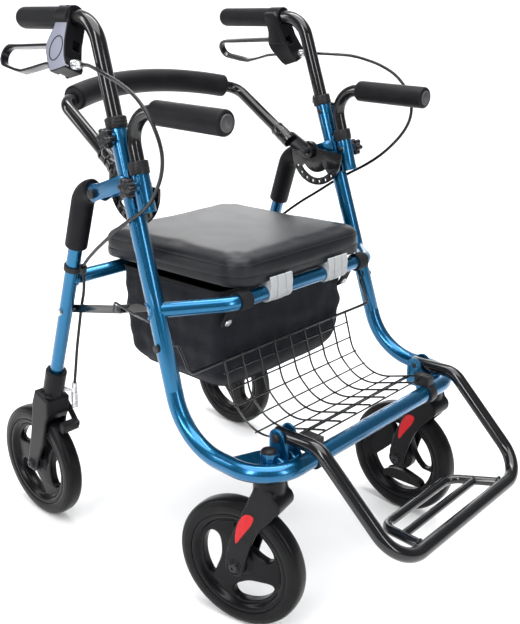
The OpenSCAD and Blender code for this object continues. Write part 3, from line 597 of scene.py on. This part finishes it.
def bag_shell():
    """Rings from the top edge down and in across the sagging floor."""
    seg, verts = 160, []

    def outline(half, y0, y1, r):
        edge = rounded_plan(half, y0, y1, r, 8)
        edge.append(edge[0])
        length = sum((b - a).length for a, b in zip(edge, edge[1:]))
        pts = resample(edge, length / seg)[:seg]
        return pts + [edge[0]] * (seg - len(pts))

    rows = []
    for i in range(31):
        t = i / 30
        bulge = math.sin(math.pi * min(1, t * 1.02)) ** 0.8
        tuck = max(0, (t - 0.82) / 0.18) ** 2
        half = 146.5 - 2 + 3.5 * bulge - 15 * tuck
        front = -51.5 - 2.5 * bulge + 12 * tuck
        rear = 169 - 6 * t + 3 * bulge - 16 * tuck
        z = 460.5 - 155.5 * t
        rows.append((outline(half, front, rear, 12 + 12 * t), z, t, 0.0))
    base = rows[-1][0]
    for i in range(1, 13):
        k = 1 - i / 12.6
        rows.append(([BAG_MID + (p - BAG_MID) * k for p in base], 305 - 7 * (1 - k ** 2.2), 1.0, 1 - k))
    for pts, z, t, inner in rows:
        for p in pts:
            n = bag_outwards(p)
            low = t * (1 - t) * 4
            wrinkle = noise.noise(V((p.x * 0.018, p.y * 0.018, z * 0.03))) * 3.2
            wrinkle += noise.noise(V((p.x * 0.05 + 7, p.y * 0.05, z * 0.014))) * 2.0
            corner = abs(abs(p.x) - 136) < 26
            pull = math.sin((z - 300) * 0.16 + p.x * 0.05) * (1.6 if corner else 0.5) * low
            if p.y >= -30:
                wrinkle *= 1.5
            off = (wrinkle - 1.2) * low + pull - 1.0
            q = p + n * (off * (1 - inner))
            zz = z + noise.noise(V((p.x * 0.02, p.y * 0.02, 3))) * (1.5 + 1.6 * inner)
            if inner == 0:
                zz -= 2.5 * t * math.cos(p.x / 150 * math.pi / 2) * (1 if t > 0.5 else 0)
                zz += 0.0 if t > 0 else 0.6 * math.sin(p.x * 0.09)
            verts.append(V((q.x, q.y, zz)))
    return verts, skin(len(rows), seg, start=False), seg


def bag_outwards(p):
    n = p - BAG_MID
    return V((n.x / 150, n.y / 112, 0)).normalized()


def stitch_row(path, pitch=4.2, long=2.6, r=0.38):
    pts = resample([V(p) for p in path], pitch / 6)
    parts = []
    k = max(1, round(long / (pitch / 6)))
    for i in range(0, len(pts) - k - 1, 6):
        parts.append(tube_data([pts[i], pts[i].lerp(pts[i + k], 0.5), pts[i + k]], r, 6, end_r=0.2))
    return join(parts)


def bag():
    verts, faces, seg = bag_shell()
    shell = piece("bag_shell", verts, faces, "fabric", None, ["bag"], "bag_fabric", sharp=70)
    th = shell.modifiers.new("thick", "SOLIDIFY")
    th.thickness, th.offset = 2.2 * MM, -1
    th.use_even_offset = True
    apply_modifiers(shell)
    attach(shell, "frame")

    def cord(name, row, lift, r):
        path = [p + V((0, 0, lift)) for p in verts[row * seg:(row + 1) * seg]]
        return piece(name, *tube_data(path, r, 10, closed=True), "webbing", "frame", slot="bag_fabric")

    hem = cord("bag_hem", 0, -0.4, 1.9)
    row = [p + bag_outwards(p) * 0.25 for p in verts[3 * seg:4 * seg]]
    stitching = piece("bag_stitching", *stitch_row(row), "webbing", "frame", slot="bag_fabric")
    piping = cord("bag_piping", 30, 0.5, 1.7)
    for o in (shell, hem, stitching, piping):
        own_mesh(o)
    n = V((0, -0.89, -0.45)).normalized()
    snap = [(0, 0), (5.8, 0), (6.2, 0.6), (6.0, 1.4), (4.8, 1.9), (4.2, 1.5), (3.6, 1.5), (3.2, 2.1), (1.8, 2.6),
        (0, 2.7)]
    arc = [math.radians(-200 + 290 * i / 28) for i in range(29)]
    for side, s in SIDES:
        at = V((s * 136.5, -59.5, 417.5)) + n * 1.2
        lathe(f"snap_{side}", at, at + n, snap, "steel", "frame", slot="zinc_steel", seg=40)
        loop = ribbon([(s * 100, 184.4 + 13.2 * math.cos(a), 454 + 13.2 * math.sin(a)) for a in arc], 22, 1.6)
        piece(f"rear_strap_{side}", *loop, "webbing", "rear_frame", slot="bag_fabric", sharp=50)


def ribbon(path, width, thick):
    """Flat strap along a path in a YZ plane, its width along X."""
    path = [V(p) for p in path]
    verts, n = [], len(path)
    for i, p in enumerate(path):
        t = (path[min(i + 1, n - 1)] - path[max(i - 1, 0)]).normalized()
        up = t.cross(V((1, 0, 0))).normalized()
        w, h = width / 2, thick / 2
        for dx, du in ((-w, -h * 0.4), (-w + 0.8, -h), (w - 0.8, -h), (w, -h * 0.4), (w, h * 0.4), (w - 0.8, h),
                (-w + 0.8, h), (-w, h * 0.4)):
            verts.append(p + V((dx, 0, 0)) + up * du)
    return verts, skin(n, 8)


def apply_modifiers(o):
    dg = bpy.context.evaluated_depsgraph_get()
    bpy.context.view_layer.update()
    me = bpy.data.meshes.new_from_object(o.evaluated_get(dg))
    o.modifiers.clear()
    o.data = me


# ---------- basket ----------
def basket():
    prof = [(0, -60, 363), (0, -79, 298), (0, -124, 260), (0, -221, 290)]
    parts = []
    for i in range(9):
        x = -145 + i * 290 / 8
        path = [p + V((x, 0, 0)) for p in rounded(prof, [50, 60], 4)]
        parts.append(tube_data(path, 1.6, 12, end_r=0.8))
    for y, z in ((-66, 342), (-73.5, 318), (-85, 297), (-103, 280), (-125, 269.5), (-153, 269.5), (-184, 278.7),
            (-190, 280.5), (-219, 289.4)):
        d = V((0, -112 - y, 345 - z)).normalized() * 2.5
        ends = [V((x, y, z)) - d for x in (-149, -60, 60, 149)]
        parts.append(tube_data(ends, 1.3, 12, end_r=0.8))
    piece("basket_wires", *join(parts), "black", "frame", ["basket"], BLACK)
    top, knee, low = V((222.5, -32, 404)), V((214, -40, 398)), V((212, -60, 360))
    parts = [tube_data(rounded([top, knee, low, mx(low), mx(knee), mx(top)], [6, 9, 9, 6], 10), 2.5, 16)]
    for side, s in SIDES:
        outer = rounded([(242, -20, 434), (241, 20, 437), (232.5, 76, 441), (231, 84, 424)], [40, 5], 10)
        parts.append(tube_data(side_of(s, outer), 1.8, 12))
        eye = [V((s * 224.5, -33.5 + 5.6 * math.cos(a), 405.5 + 5.6 * math.sin(a))) for a in turns(28)]
        parts.append(tube_data(eye, 1.9, 10, closed=True))
    piece("basket_hanger", *join(parts), "black", "frame", ["basket_rod"], BLACK)


# ---------- handles, brakes and cables ----------
def housing_place(s):
    return side_frame(s, 217, 0, GRIP_Z) @ Matrix.Rotation(math.radians(-22.7), 4, "Y")


CABLE = [(240.5, 105.6, 772.6), (244, 88, 773), (256, 62, 772), (268, 36, 770), (274, 8, 764), (276, -22, 755),
    (277, -50, 741), (277, -72, 720), (275, -85, 695), (271, -86, 672), (266, -77, 650), (260, -60, 628),
    (254, -40, 609), (249, -16, 592), (246, 16, 574), (243, 47, 556), (239, 80, 534), (234, 112, 513),
    (229, 143, 490), (224, 161.5, 472), (219, 168, 452), (212, 181, 428), (209, 194, 400), (209, 204, 365),
    (209.5, 214, 325), (210, 221, 290), (210.5, 227, 260)]


def cables(side, s):
    line = spline(side_of(s, CABLE), 8)
    cut = 13 * 8
    joints = (
        ("upper", line[:cut + 1], f"handle_{side}", "frame", (0.2405, 0.1056, 0.7726), (0.260, -0.060, 0.628)),
        ("lower", line[cut:], "frame", "rear_frame", (0.249, -0.016, 0.592), (0.222, 0.163, 0.472)))
    for tag, part, a, b, start, end in joints:
        o = tube(f"cable_{tag}_{side}", part, 5.0, "cable", None, [f"brake_cable_{side}"], "cable_sheath", sides=16,
            end_r=0)
        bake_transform(o)


def handles(side, s):
    body = f"handle_{side}"
    turn, tip = V((217.3, 104.9, GRIP_Z)), V((210.4, 284, GRIP_Z))
    path = rounded([main_axis(578), turn, tip], [45])
    tube(f"handle_bar_{side}", side_of(s, path), HANDLE_D, "black", body, [f"handle_tube_{side}"], BLACK, sides=44)
    rim = [(0, -0.2), (3.6, -0.2), (3.6, 0.25), (3.0, 0.35), (2.6, 0.1), (0, 0.05)]
    for z in (706, 728, 750):
        p = on_side(s, main_axis(z) - V((10.9, 0, 0)))
        lathe(f"pin_hole_{side}_{z}", p, p + V((-s, 0, 0.04)), rim, "moulded", body, seg=28, slot=BLACK)
    dress(NODES[f"grip_{side}"], "foam")
    melt_node(f"brake_housing_{side}", 0.9, 2, "moulded")
    bevel_node(f"brake_lever_{side}", 1.7, "lever")
    bevel_node(f"cable_adjuster_{side}", 0.5, "steel")
    place = housing_place(s)
    inner = [(170, 8), (150, 8), (147, -6), (143, -34), (139, -40), (176, -40), (170, -19)]
    slab(f"housing_inner_{side}", inner, -19.2, -17.2, place, 0.8, "moulded", body, slot="grey_cover")
    skirt = [(134, -56), (128, -66), (128, -71), (154, -77.5), (158, -74), (163.5, -66), (170, -56)]
    slab(f"housing_base_{side}", skirt, -16, 10.9, place, 1.2, "moulded", body, slot="grey_cover")
    pts = [place @ V((12.75, 153.8 + 13.5 * math.cos(a), -47 + 17 * math.sin(a))) for a in turns(48)]
    piece(f"housing_groove_{side}", *tube_data(pts, 0.75, 8, closed=True), "moulded", body, slot="grey_cover")
    axis = place.to_3x3() @ V((1, 0, 0))
    cover = [(171.5, 12.5), (153, 12.5), (147, 7), (145.5, -6), (140.5, -36), (132.5, -57), (125.5, -66),
        (125.5, -71), (154, -78.5), (159, -75), (166, -66), (176.5, -51), (179.5, -42), (178.5, -37), (172.5, -19),
        (172, -7)]
    slab(f"housing_cover_{side}", smooth_outline(cover, 3), 5.5, 12.7, place, 1.8, "cover", body,
        slot="grey_cover")
    for i, (y, z, r) in enumerate(((161, -6, 4.4), (164, 9, 2.6))):
        socket_screw(f"housing_screw_{side}_{i}", place @ V((12.3, y, z)), axis, r, "bolt", body, 1.8)
    a, b = V((s * 239.5, 127, 772)), V((s * 240.5, 106, 772.6))
    d = (b - a).normalized()
    prof = [(3.9, 0)]
    for i in range(9):
        prof += [(6.7, 0.6 + i * 1.3), (6.2, 1.1 + i * 1.3)]
    prof += [(5.0, 13.2), (4.4, 13.6), (4.4, 17), (4.0, 17.6), (3.0, 18), (3.0, 0)]
    lathe(f"barrel_{side}", a, b, [(0, 0), *prof[1:-1]], "steel", body, slot="zinc_steel", seg=36)
    cables(side, s)


def knob(name, x, y, z, s, body, t=12):
    lobes = []
    for a in turns(144):
        r = 12.6 + 2.1 * math.cos(6 * a) - 0.35 * math.cos(12 * a)
        lobes.append((y + r * math.cos(a), z + r * math.sin(a)))
    slab(f"{name}_star", lobes, x, x + t, Matrix.Diagonal((s, 1, 1, 1)), 2.4, "lever", body,
        stands_for=[name], slot="black_plastic")
    c = V((s * (x + t), y, z))
    cap = [(0, -1.5), (7.4, -1.5), (7.4, -0.2), (6.7, 0.5), (6.0, 0.1), (5.4, -0.5), (4.2, 0.2), (2.2, 0.9),
        (0, 1.0)]
    lathe(f"{name}_cap", c, c + V((s, 0, 0)), cap, "matte", body, slot="black_plastic", seg=40)
    lathe(f"{name}_collar", (s * (x - 2.2), y, z), (s * x, y, z), [(0, -1.2), (6.6, -1.2), (7.4, 0), (8.6, 2.4),
        (9.2, 3.2), (0, 3.2)], "matte", body, slot="black_plastic", seg=40)


def armrests(side, s):
    body = f"armrest_{side}"
    turn, tip = V((222.1, 37.9, 719)), V((219.6, -140, 714.2))
    path = rounded([arm_axis(590), turn, tip], [38])
    tube(f"armrest_bar_{side}", side_of(s, path), ARM_D, "black", body, [f"armrest_tube_{side}"], BLACK, sides=40)
    along, pad_rear, pad_len = (tip - turn).normalized(), V((221.4, -17, 717.5)), 129
    a, b = side_of(s, (pad_rear, pad_rear + along))
    lathe(f"armrest_foam_{side}", a, b, puck(16.5, 0, pad_len, 4.0), "foam", body,
        stands_for=[f"armrest_pad_{side}"], slot="black_foam", seg=72)
    end = pad_rear + along * pad_len
    a, b = side_of(s, (end, end + along))
    plug = [(0, -2), (11.2, -2), (11.2, 0.4), (10.6, 1.1), (9.6, 1.2), (9.2, 0.7), (8.6, 0.7), (6.5, 1.5), (3, 1.9),
        (0, 2.0)]
    lathe(f"armrest_plug_{side}", a, b, plug, "grey_dark", body, slot="black_plastic", seg=48)
    knob(f"height_knob_{side}", 239.8, main_axis(680).y, 680, s, f"height_knob_{side}", 12)
    knob(f"arm_knob_{side}", 244.4, arm_axis(620).y, 620, s, f"arm_knob_{side}", 13)


# ---------- backrest ----------
def backrest():
    turn, apex, low = V((187.5, 229.6, 710)), V((0, 303, 749)), V((189.5, 125, 640))
    t = (turn - low).normalized()
    start = low - t * 12
    path = rounded([start, turn, apex, mx(turn), mx(start)], [26, 400, 26], 3)
    tube("backrest_bar", path, ARM_D, "black", "backrest", ["backrest_tube"], BLACK, sides=40)
    arc = fillet(turn, apex, mx(turn), 400, 1.2)
    o = tube("backrest_foam", arc, 38, "foam", "backrest", ["backrest_pad"], "black_foam", sides=64, end_r=3.5)
    clamp = [(10.2, 0), (12.6, 0.2), (12.9, 1.0), (12.9, 2.6), (12.6, 3.4), (10.2, 3.6)]
    for side, s in SIDES:
        e, d = side_of(s, (arc[0], (arc[0] - arc[1]).normalized()))
        lathe(f"backrest_disc_{side}", e - d * 0.5, e + d, puck(15.2, 0, 2.2, 0.8), "matte", "backrest",
            slot="black_plastic", seg=48)
        for i, k in enumerate((-19, -6, 9)):
            a, b = side_of(s, (low + t * k, low + t * (k + 1)))
            lathe(f"backrest_clamp_{side}_{i}", a, b, clamp, "black", "backrest", slot=BLACK, seg=48)
        screw = on_side(s, low - t * 2 - V((12.2, 0, 0)))
        socket_screw(f"backrest_screw_{side}", screw, (-s, 0, 0), 4.0, "bolt", "backrest", 2.0)
    bevel_node("backrest_arms", 0.9, "black")


# ---------- seat ----------
SEAT = Matrix.Translation(SEAT_BAR) @ Matrix.Rotation(math.radians(-0.8), 4, "X")
SEAT_HALF, SEAT_FRONT, SEAT_REAR, SEAT_CORNER = 150, -8, 310, 38
SEAT_MID = (SEAT_FRONT + SEAT_REAR) / 2


def seat_plan(inset=0, n=12):
    return rounded_plan(SEAT_HALF - inset, SEAT_FRONT + inset, SEAT_REAR - inset, max(8, SEAT_CORNER - inset), n)


def cushion_mesh():
    """Closed cushion: rings from under the board edge, up the sides and in across a crowned top."""
    rings = []
    for inset, z in ((26, 25.4), (8, 25.2), (3.5, 25.8), (1.6, 28), (1.0, 33), (0.9, 40), (1.3, 47), (2.4, 51.5),
            (4.8, 55.2), (8.2, 57.6), (13, 59.0), (20, 59.8)):
        rings.append([p + V((0, 0, z)) for p in seat_plan(inset)])
    rim = rings[-1]
    for k in (0.82, 0.66, 0.5, 0.34, 0.2, 0.08):
        rings.append([V((p.x * k, SEAT_MID + (p.y - SEAT_MID) * k, 59.8 + 1.0 * (1 - k))) for p in rim])
    return [SEAT @ v for r in rings for v in r], skin(len(rings), len(rings[0]))


def seat():
    o = piece("seat_cushion", *cushion_mesh(), "vinyl", None, ["seat_pad"], "black_vinyl", sharp=80)
    inflate(o, voxel=5.0, pressure=2.2, cap=2.0)
    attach(o, "seat")
    bpy.context.evaluated_depsgraph_get()
    inv = o.matrix_world.inverted()

    def on_cushion(local, push):
        """Point on the cushion's side at a plan position and height, just proud of it."""
        out = (local - V((0, SEAT_MID, local.z))).normalized()
        far = SEAT @ (local + out * 40)
        d = SEAT.to_3x3() @ -out
        hit, loc, nrm, _ = o.ray_cast(inv @ (far * MM), d)
        return (loc / MM + nrm * push) if hit else SEAT @ local

    loop = [(0.9, 31), (0.7, 26), (0.9, 21.6), (1.8, 18.8), (4.2, 17.4), (15, 17.3), (15, 18.6), (5.2, 18.8),
        (5.2, 31)]
    verts = [SEAT @ (p + V((0, 0, z))) for inset, z in loop for p in seat_plan(inset)]
    piece("seat_skirt", verts, skin(len(loop), len(seat_plan()), closed=True), "vinyl", "seat", slot="black_vinyl",
        sharp=70)
    for tag, z, r in (("top", 49.0, 0.8), ("low", 31.5, 0.6)):
        ring = [on_cushion(p + V((0, 0, z)), 0.15) for p in seat_plan(n=16)]
        ring = resample(ring + [ring[0]], 5)[:-1]
        piece(f"seat_seam_{tag}", *tube_data(ring, r, 8, closed=True), "vinyl", "seat", slot="black_vinyl")
    rows = [on_cushion(p + V((0, 0, 46.6)), 0.05) for p in seat_plan(n=16)]
    piece("seat_stitching", *stitch_row(rows + [rows[0]], 4.6, 2.8, 0.32), "webbing", "seat", slot="black_vinyl")
    bevel_node("seat_board", 1.5, "matte")
    leaf = [(-13.6, 4), (-14.6, 12), (-13.2, 24.5), (-11.0, 25.5), (-10.2, 19.5), (6, 17.2), (8, 14), (6, 9.5),
        (-4, 10)]
    for side, x in (("left", -66.5), ("right", 66.5)):
        for i, (a, b, r) in enumerate(((-24, -9.2, 13.9), (-8.6, 8.6, 14.5), (9.2, 24, 13.9))):
            p, q = SEAT @ V((x + a, 0, 0)), SEAT @ V((x + b, 0, 0))
            w = b - a
            lathe(f"hinge_ring_{side}_{i}", p, q, [(11.1, 0), (r - 1.0, 0), (r - 0.3, 0.3), (r, 1.0), (r, w - 1.0),
                (r - 0.3, w - 0.3), (r - 1.0, w), (11.1, w)], "grey", "seat", slot="grey_plastic", seg=48,
                stands_for=["seat_hinges"] if (side, i) == ("left", 0) else [])
            slab(f"hinge_tab_{side}_{i}", leaf, x + a + 0.2, x + b - 0.2, SEAT, 0.7, "grey", "seat",
                slot="grey_plastic")


def inflate(o, voxel, pressure, cap):
    """Fine remesh, then a short pressure simulation with the underside held, capped, and one subdivision."""
    r = o.modifiers.new("remesh", "REMESH")
    r.mode, r.voxel_size = "VOXEL", voxel * MM
    apply_modifiers(o)
    inv = SEAT.inverted()
    rest = [v.co.copy() for v in o.data.vertices]
    held = [v.index for v in o.data.vertices if (inv @ (v.co / MM)).z < 27.5]
    g = o.vertex_groups.new(name="held")
    g.add(held, 1.0, "REPLACE")
    c = o.modifiers.new("cloth", "CLOTH")
    s = c.settings
    s.quality, s.mass, s.tension_stiffness, s.compression_stiffness, s.bending_stiffness = 6, 0.4, 30, 30, 6
    s.use_pressure, s.uniform_pressure_force, s.vertex_group_mass = True, pressure, "held"
    s.effector_weights.gravity = 0
    c.collision_settings.use_collision = False
    c.collision_settings.use_self_collision = False
    c.point_cache.frame_start, c.point_cache.frame_end = 1, 20
    for f in range(1, 21):
        scene.frame_set(f)
    dg = bpy.context.evaluated_depsgraph_get()
    sim = [v.co.copy() for v in o.evaluated_get(dg).data.vertices]
    o.modifiers.clear()
    scene.frame_set(1)
    for v, a, b in zip(o.data.vertices, rest, sim):
        d = b - a
        if d.length > cap * MM:
            d *= cap * MM / d.length
        v.co = a + d
    o.vertex_groups.clear()
    m = o.modifiers.new("relax", "SMOOTH")
    m.factor, m.iterations = 0.5, 3
    sub = o.modifiers.new("smooth", "SUBSURF")
    sub.levels = sub.render_levels = 1
    apply_modifiers(o)
    for f in o.data.polygons:
        f.use_smooth = True
    o.data.materials.clear()
    o.data.materials.append(MATS["vinyl"])


# ---------- rear frame ----------
def fork_place(s):
    return side_frame(s, *REAR_AXLE) @ Matrix.Rotation(math.atan(0.333), 4, "X")


def rear_frame():
    for side, s in SIDES:
        p = rounded([(225.2, 91, 598), leg_axis(600), leg_axis(232)], [30])
        tube(f"rear_leg_tube_{side}", side_of(s, p), HANDLE_D, "blue", "rear_frame", [f"rear_leg_{side}"], BLUE,
            sides=44)
        sleeve = [q for q in rounded([(225.4, 97, 598.2), leg_axis(600), leg_axis(508)], [30]) if q.y > 116.5]
        o = tube(f"leg_foam_{side}", side_of(s, sleeve), 34, "foam", "rear_frame", ["leg_sleeves"], "black_foam",
            sides=56, end_r=3.0)
        weld_bead(f"weld_crossbar_{side}", (200, leg_axis(454).y, 454), (1, 0, 0), 11, leg_axis(420),
            leg_axis(500) - leg_axis(420), 11.2, "rear_frame", s)
        melt_node(f"rear_fork_{side}", 1.6, 5, "moulded")
        bevel_node(f"brake_shoe_{side}", 1.2, "moulded")
        place = fork_place(s)
        helix = []
        coils, steps = 11, 20
        for i in range(coils * steps + 1):
            a, t = 2 * math.pi * i / steps, i / (coils * steps)
            helix.append(place @ V((-28 + 4.9 * math.cos(a), -30 + 7 * t + 4.9 * math.sin(a), 130 + 27 * t)))
        piece(f"brake_spring_{side}", *tube_data(helix, 0.85, 8), "steel", "rear_frame", slot="zinc_steel")
        nut = [(0, -0.3), (5.0, -0.3), (5.0, 3.6), (4.5, 4), (4.5, 4.6), (5.2, 5), (5.2, 8.6), (4.6, 9), (3.4, 9.2),
            (0, 9.2)]
        a, b = place @ V((-28, -23, 158)), place @ V((-28, -20, 175))
        lathe(f"spring_adjuster_{side}", a, b, nut, "steel", "rear_frame", slot="zinc_steel", seg=6)
        for tag, out in (("outer", V((1, 0, 0))), ("inner", V((-1, 0, 0)))):
            socket_screw(f"rear_axle_{tag}_{side}", place @ (out * 25.4), place.to_3x3() @ out, 6.8, "bolt",
                "rear_frame", 2.6)
        wheel(f"rear_wheel_{side}", side_frame(s, *REAR_AXLE), f"rear_wheel_{side}", 10)
    bevel_node("rear_crossbar", 0.4, "blue")
    o = NODES["rear_fittings"]
    bevel_node("rear_fittings", 0.5, "steel")
    o.data.materials.append(MATS["matte"])
    for f in o.data.polygons:
        if f.center.z > 0.44:
            f.material_index = 1


# ---------- stays ----------
def stays():
    bevel_node("front_stays", 0.7, "black")
    bevel_node("rear_stays", 0.7, "black")
    for side, s in SIDES:
        dome = [(0, -0.3), (5.4, -0.3), (5.2, 0.8), (4.2, 1.6), (2.4, 2.1), (0, 2.3)]
        for tag, x, y, z, out, body in (("front", 211.0, -8, 450, -1, "frame"),
                ("mid_in", 211.3, 81, 425, -1, "front_stays"), ("mid_out", 222.7, 81, 425, 1, "rear_stays")):
            p = V((s * x, y, z))
            lathe(f"rivet_{tag}_{side}", p, p + V((s * out, 0, 0)), dome, "bolt", body, slot=BLACK, seg=32)


# ---------- wheels and casters ----------
def ring_data(profile, matrix, seg=120):
    """A closed profile of (radius, x) turned about the local X axis."""
    verts = [matrix @ V((x, r * math.cos(a), r * math.sin(a))) for r, x in profile for a in turns(seg)]
    return verts, skin(len(profile), seg, closed=True)


def wheel(name, place, body, turned):
    half = [(100, 0), (99.9, 4), (99.5, 7.5), (98.4, 10.4), (96.4, 12.6), (94.6, 13.6), (93.6, 13.6), (92.6, 14.4),
        (89, 15), (84, 15), (80.4, 14.7), (79.2, 13.9), (78.8, 12.6)]
    prof = half + [(r, -x) for r, x in reversed(half[1:])]
    piece(f"{name}_tyre", *ring_data(prof, place), "tyre", body, [name], "black_wheel")
    half = [(79.2, 12.3), (78.4, 13.4), (77, 13.9), (74.5, 13.9), (72.4, 13.3), (70.4, 11.6), (68.6, 9.0),
        (67.0, 7.4), (65.2, 6.8), (64.6, 6.0)]
    prof = [(79.2, 0), *half, *[(r, -x) for r, x in reversed(half)]]
    piece(f"{name}_rim", *ring_data(prof, place), "wheel", body, slot="black_wheel")
    disc = [(66.6 * math.cos(a), 66.6 * math.sin(a)) for a in turns(96)]
    control = [(62.6, 17), (63.4, 32), (63.4, 48), (63.4, 64), (62.6, 79), (58.5, 89), (49, 93), (39.5, 86),
        (33.5, 72), (31.5, 55), (34.5, 38), (42.5, 24), (53, 14.5), (59.5, 13)]
    holes = []
    for turn in (turned, turned + 120, turned + 240):
        polar = [(r, math.radians(a + turn)) for r, a in control]
        holes.append(smooth_outline([(r * math.cos(a), r * math.sin(a)) for r, a in polar], 5))
    slab(f"{name}_web", disc, -7, 7, place, 2.8, "wheel", body, holes, slot="black_wheel")
    half = [(5.1, 15), (13, 15), (14.6, 14.4), (15.4, 13), (15.8, 11), (17.6, 9.6), (20.6, 8.6), (22.6, 7.4),
        (24.0, 6.2)]
    hub = [(r, -x) for r, x in half] + half[::-1]
    piece(f"{name}_hub", *ring_data(hub, place, 72), "wheel", body, slot="black_wheel")


def casters():
    axle = V((0, 44, 100))
    for side, s in SIDES:
        yaw, wheel_turn = (12, -50) if s < 0 else (-1, -27)
        place = Matrix.Translation((s * STEM[0], STEM[1], 0)) @ Matrix.Rotation(math.radians(yaw), 4, "Z")
        body = f"caster_{side}"
        melt_node(f"caster_fork_{side}", 1.6, 6, "moulded")
        drop = smooth_outline([(11.5, 191), (20, 193.5), (28, 189.5), (35, 178), (39.5, 165), (41.5, 152),
            (40.5, 141), (36.5, 145), (31, 154), (23, 166), (15.5, 178)], 4)
        for tag, x0, x1, sgn in (("right", 20.9, 22.5, 1), ("left", -22.5, -20.9, -1)):
            slab(f"reflector_{side}_{tag}", drop, x0, x1, place, 0.5, "red", body)
            out = V((sgn, 0, 0))
            socket_screw(f"axle_bolt_{side}_{tag}", place @ (axle + out * 24.6), place.to_3x3() @ out, 6.6, "bolt",
                body, 2.4)
            ring = [axle + V((sgn * 21.8, 12.2 * math.cos(a), 12.2 * math.sin(a))) for a in turns(40)]
            piece(f"axle_ring_{side}_{tag}", *tube_data([place @ p for p in ring], 1.1, 8, closed=True), "moulded",
                body, slot="gloss_black_plastic")
        wheel(f"front_wheel_{side}", place @ Matrix.Translation(axle), f"front_wheel_{side}", wheel_turn)


# ---------- footrest ----------
def footrest():
    start, turn, corner = V((169, -184, 297)), V((171, -260.5, 299)), V((165, -391.5, 176.5))
    path = rounded([start, turn, corner, mx(corner), mx(turn), mx(start)], [34, 50, 50, 34])
    tube("footrest_bar", path, ARM_D, "black", "footrest", ["footrest_frame"], BLACK, sides=44, end_r=2.5)
    front, rear = V((108, -386, 178)), V((88, -312, 164))
    parts = [tube_data(rounded([front, rear, mx(rear), mx(front)], [24, 24], 5), 7, 28, end_r=0.2),
        tube_data([V((-97, -349.5, 171)), V((0, -349.5, 171)), V((97, -349.5, 171))], 6, 28, end_r=0.2)]
    piece("footrest_rungs", *join(parts), "black", "footrest", ["footrest_platform"], BLACK)
    welds = ((95.5, -349.5, 171), (0, 1, 0), 6.3), ((108, -381.8, 178), (1, 0, 0), 7.35)
    for i, (p, across, r) in enumerate(welds):
        for side, s in SIDES:
            ring = [on_side(s, p) + r * (math.cos(a) * V(across) + math.sin(a) * V((0, 0, 1))) for a in turns(32)]
            piece(f"footrest_weld_{side}_{i}", *tube_data(ring, 1.1, 8, closed=True), "black", "footrest",
                slot=BLACK)


# ---------- stage ----------
def stage_and_light():
    w = bpy.data.worlds.new("studio")
    scene.world = w
    w.use_nodes = True
    bg = w.node_tree.nodes["Background"]
    bg.inputs["Color"].default_value = (0.95, 0.97, 1.0, 1)
    bg.inputs["Strength"].default_value = 0.25
    pts = [(0, 0)] + [(3.0 + 1.2 * math.sin(a), 1.2 - 1.2 * math.cos(a)) for a in
        [math.radians(x) for x in range(0, 91, 10)]] + [(4.2, 7)]
    verts, faces = [], []
    back = V((0.736, 0.677, 0))
    side = V((0.677, -0.736, 0))
    for d, z in [(-6, 0)] + pts:
        for k in (-9, 9):
            verts.append((back * d + side * k + V((0, 0, z))) / MM)
    for i in range(len(pts)):
        faces.append((2 * i, 2 * i + 1, 2 * i + 3, 2 * i + 2))
    floor = piece("floor", verts, faces, "floor", sharp=80)
    floor.location.z = -0.0005

    def area(name, at, to, size, power, size_y=None):
        l = bpy.data.lights.new(name, "AREA")
        l.energy, l.size = power, size
        if size_y:
            l.shape, l.size_y = "RECTANGLE", size_y
        o = bpy.data.objects.new(name, l)
        scene.collection.objects.link(o)
        o.location = at
        o.rotation_mode = "QUATERNION"
        o.rotation_quaternion = (V(to) - V(at)).to_track_quat("-Z", "Y")

    low, mid = (0, 0, 0.4), (0, 0, 0.5)
    area("overhead", (-0.2, -0.2, 3.4), low, 3.4, 150)
    area("key", (-2.6, -0.6, 1.9), mid, 0.6, 46, 2.0)
    area("front", (-0.4, -2.8, 1.5), low, 0.5, 26, 1.8)
    area("rim", (2.3, 2.1, 1.55), mid, 1.5, 14, 1.0)
    area("strip", (-1.9, 1.9, 1.5), mid, 0.35, 20, 2.0)
    area("backdrop", (0.6, 0.5, 3.0), (3.4, 3.1, 0.8), 1.6, 90)


front_frame()
bag()
basket()
for side, s in SIDES:
    handles(side, s)
    armrests(side, s)
backrest()
seat()
rear_frame()
stays()
casters()
footrest()
stage_and_light()

scene.render.engine = "CYCLES"
scene.cycles.samples = 160
scene.cycles.use_denoising = True
view = scene.view_settings
view.view_transform, view.look, view.exposure = "Standard", "None", 0.0

bpy.context.view_layer.update()
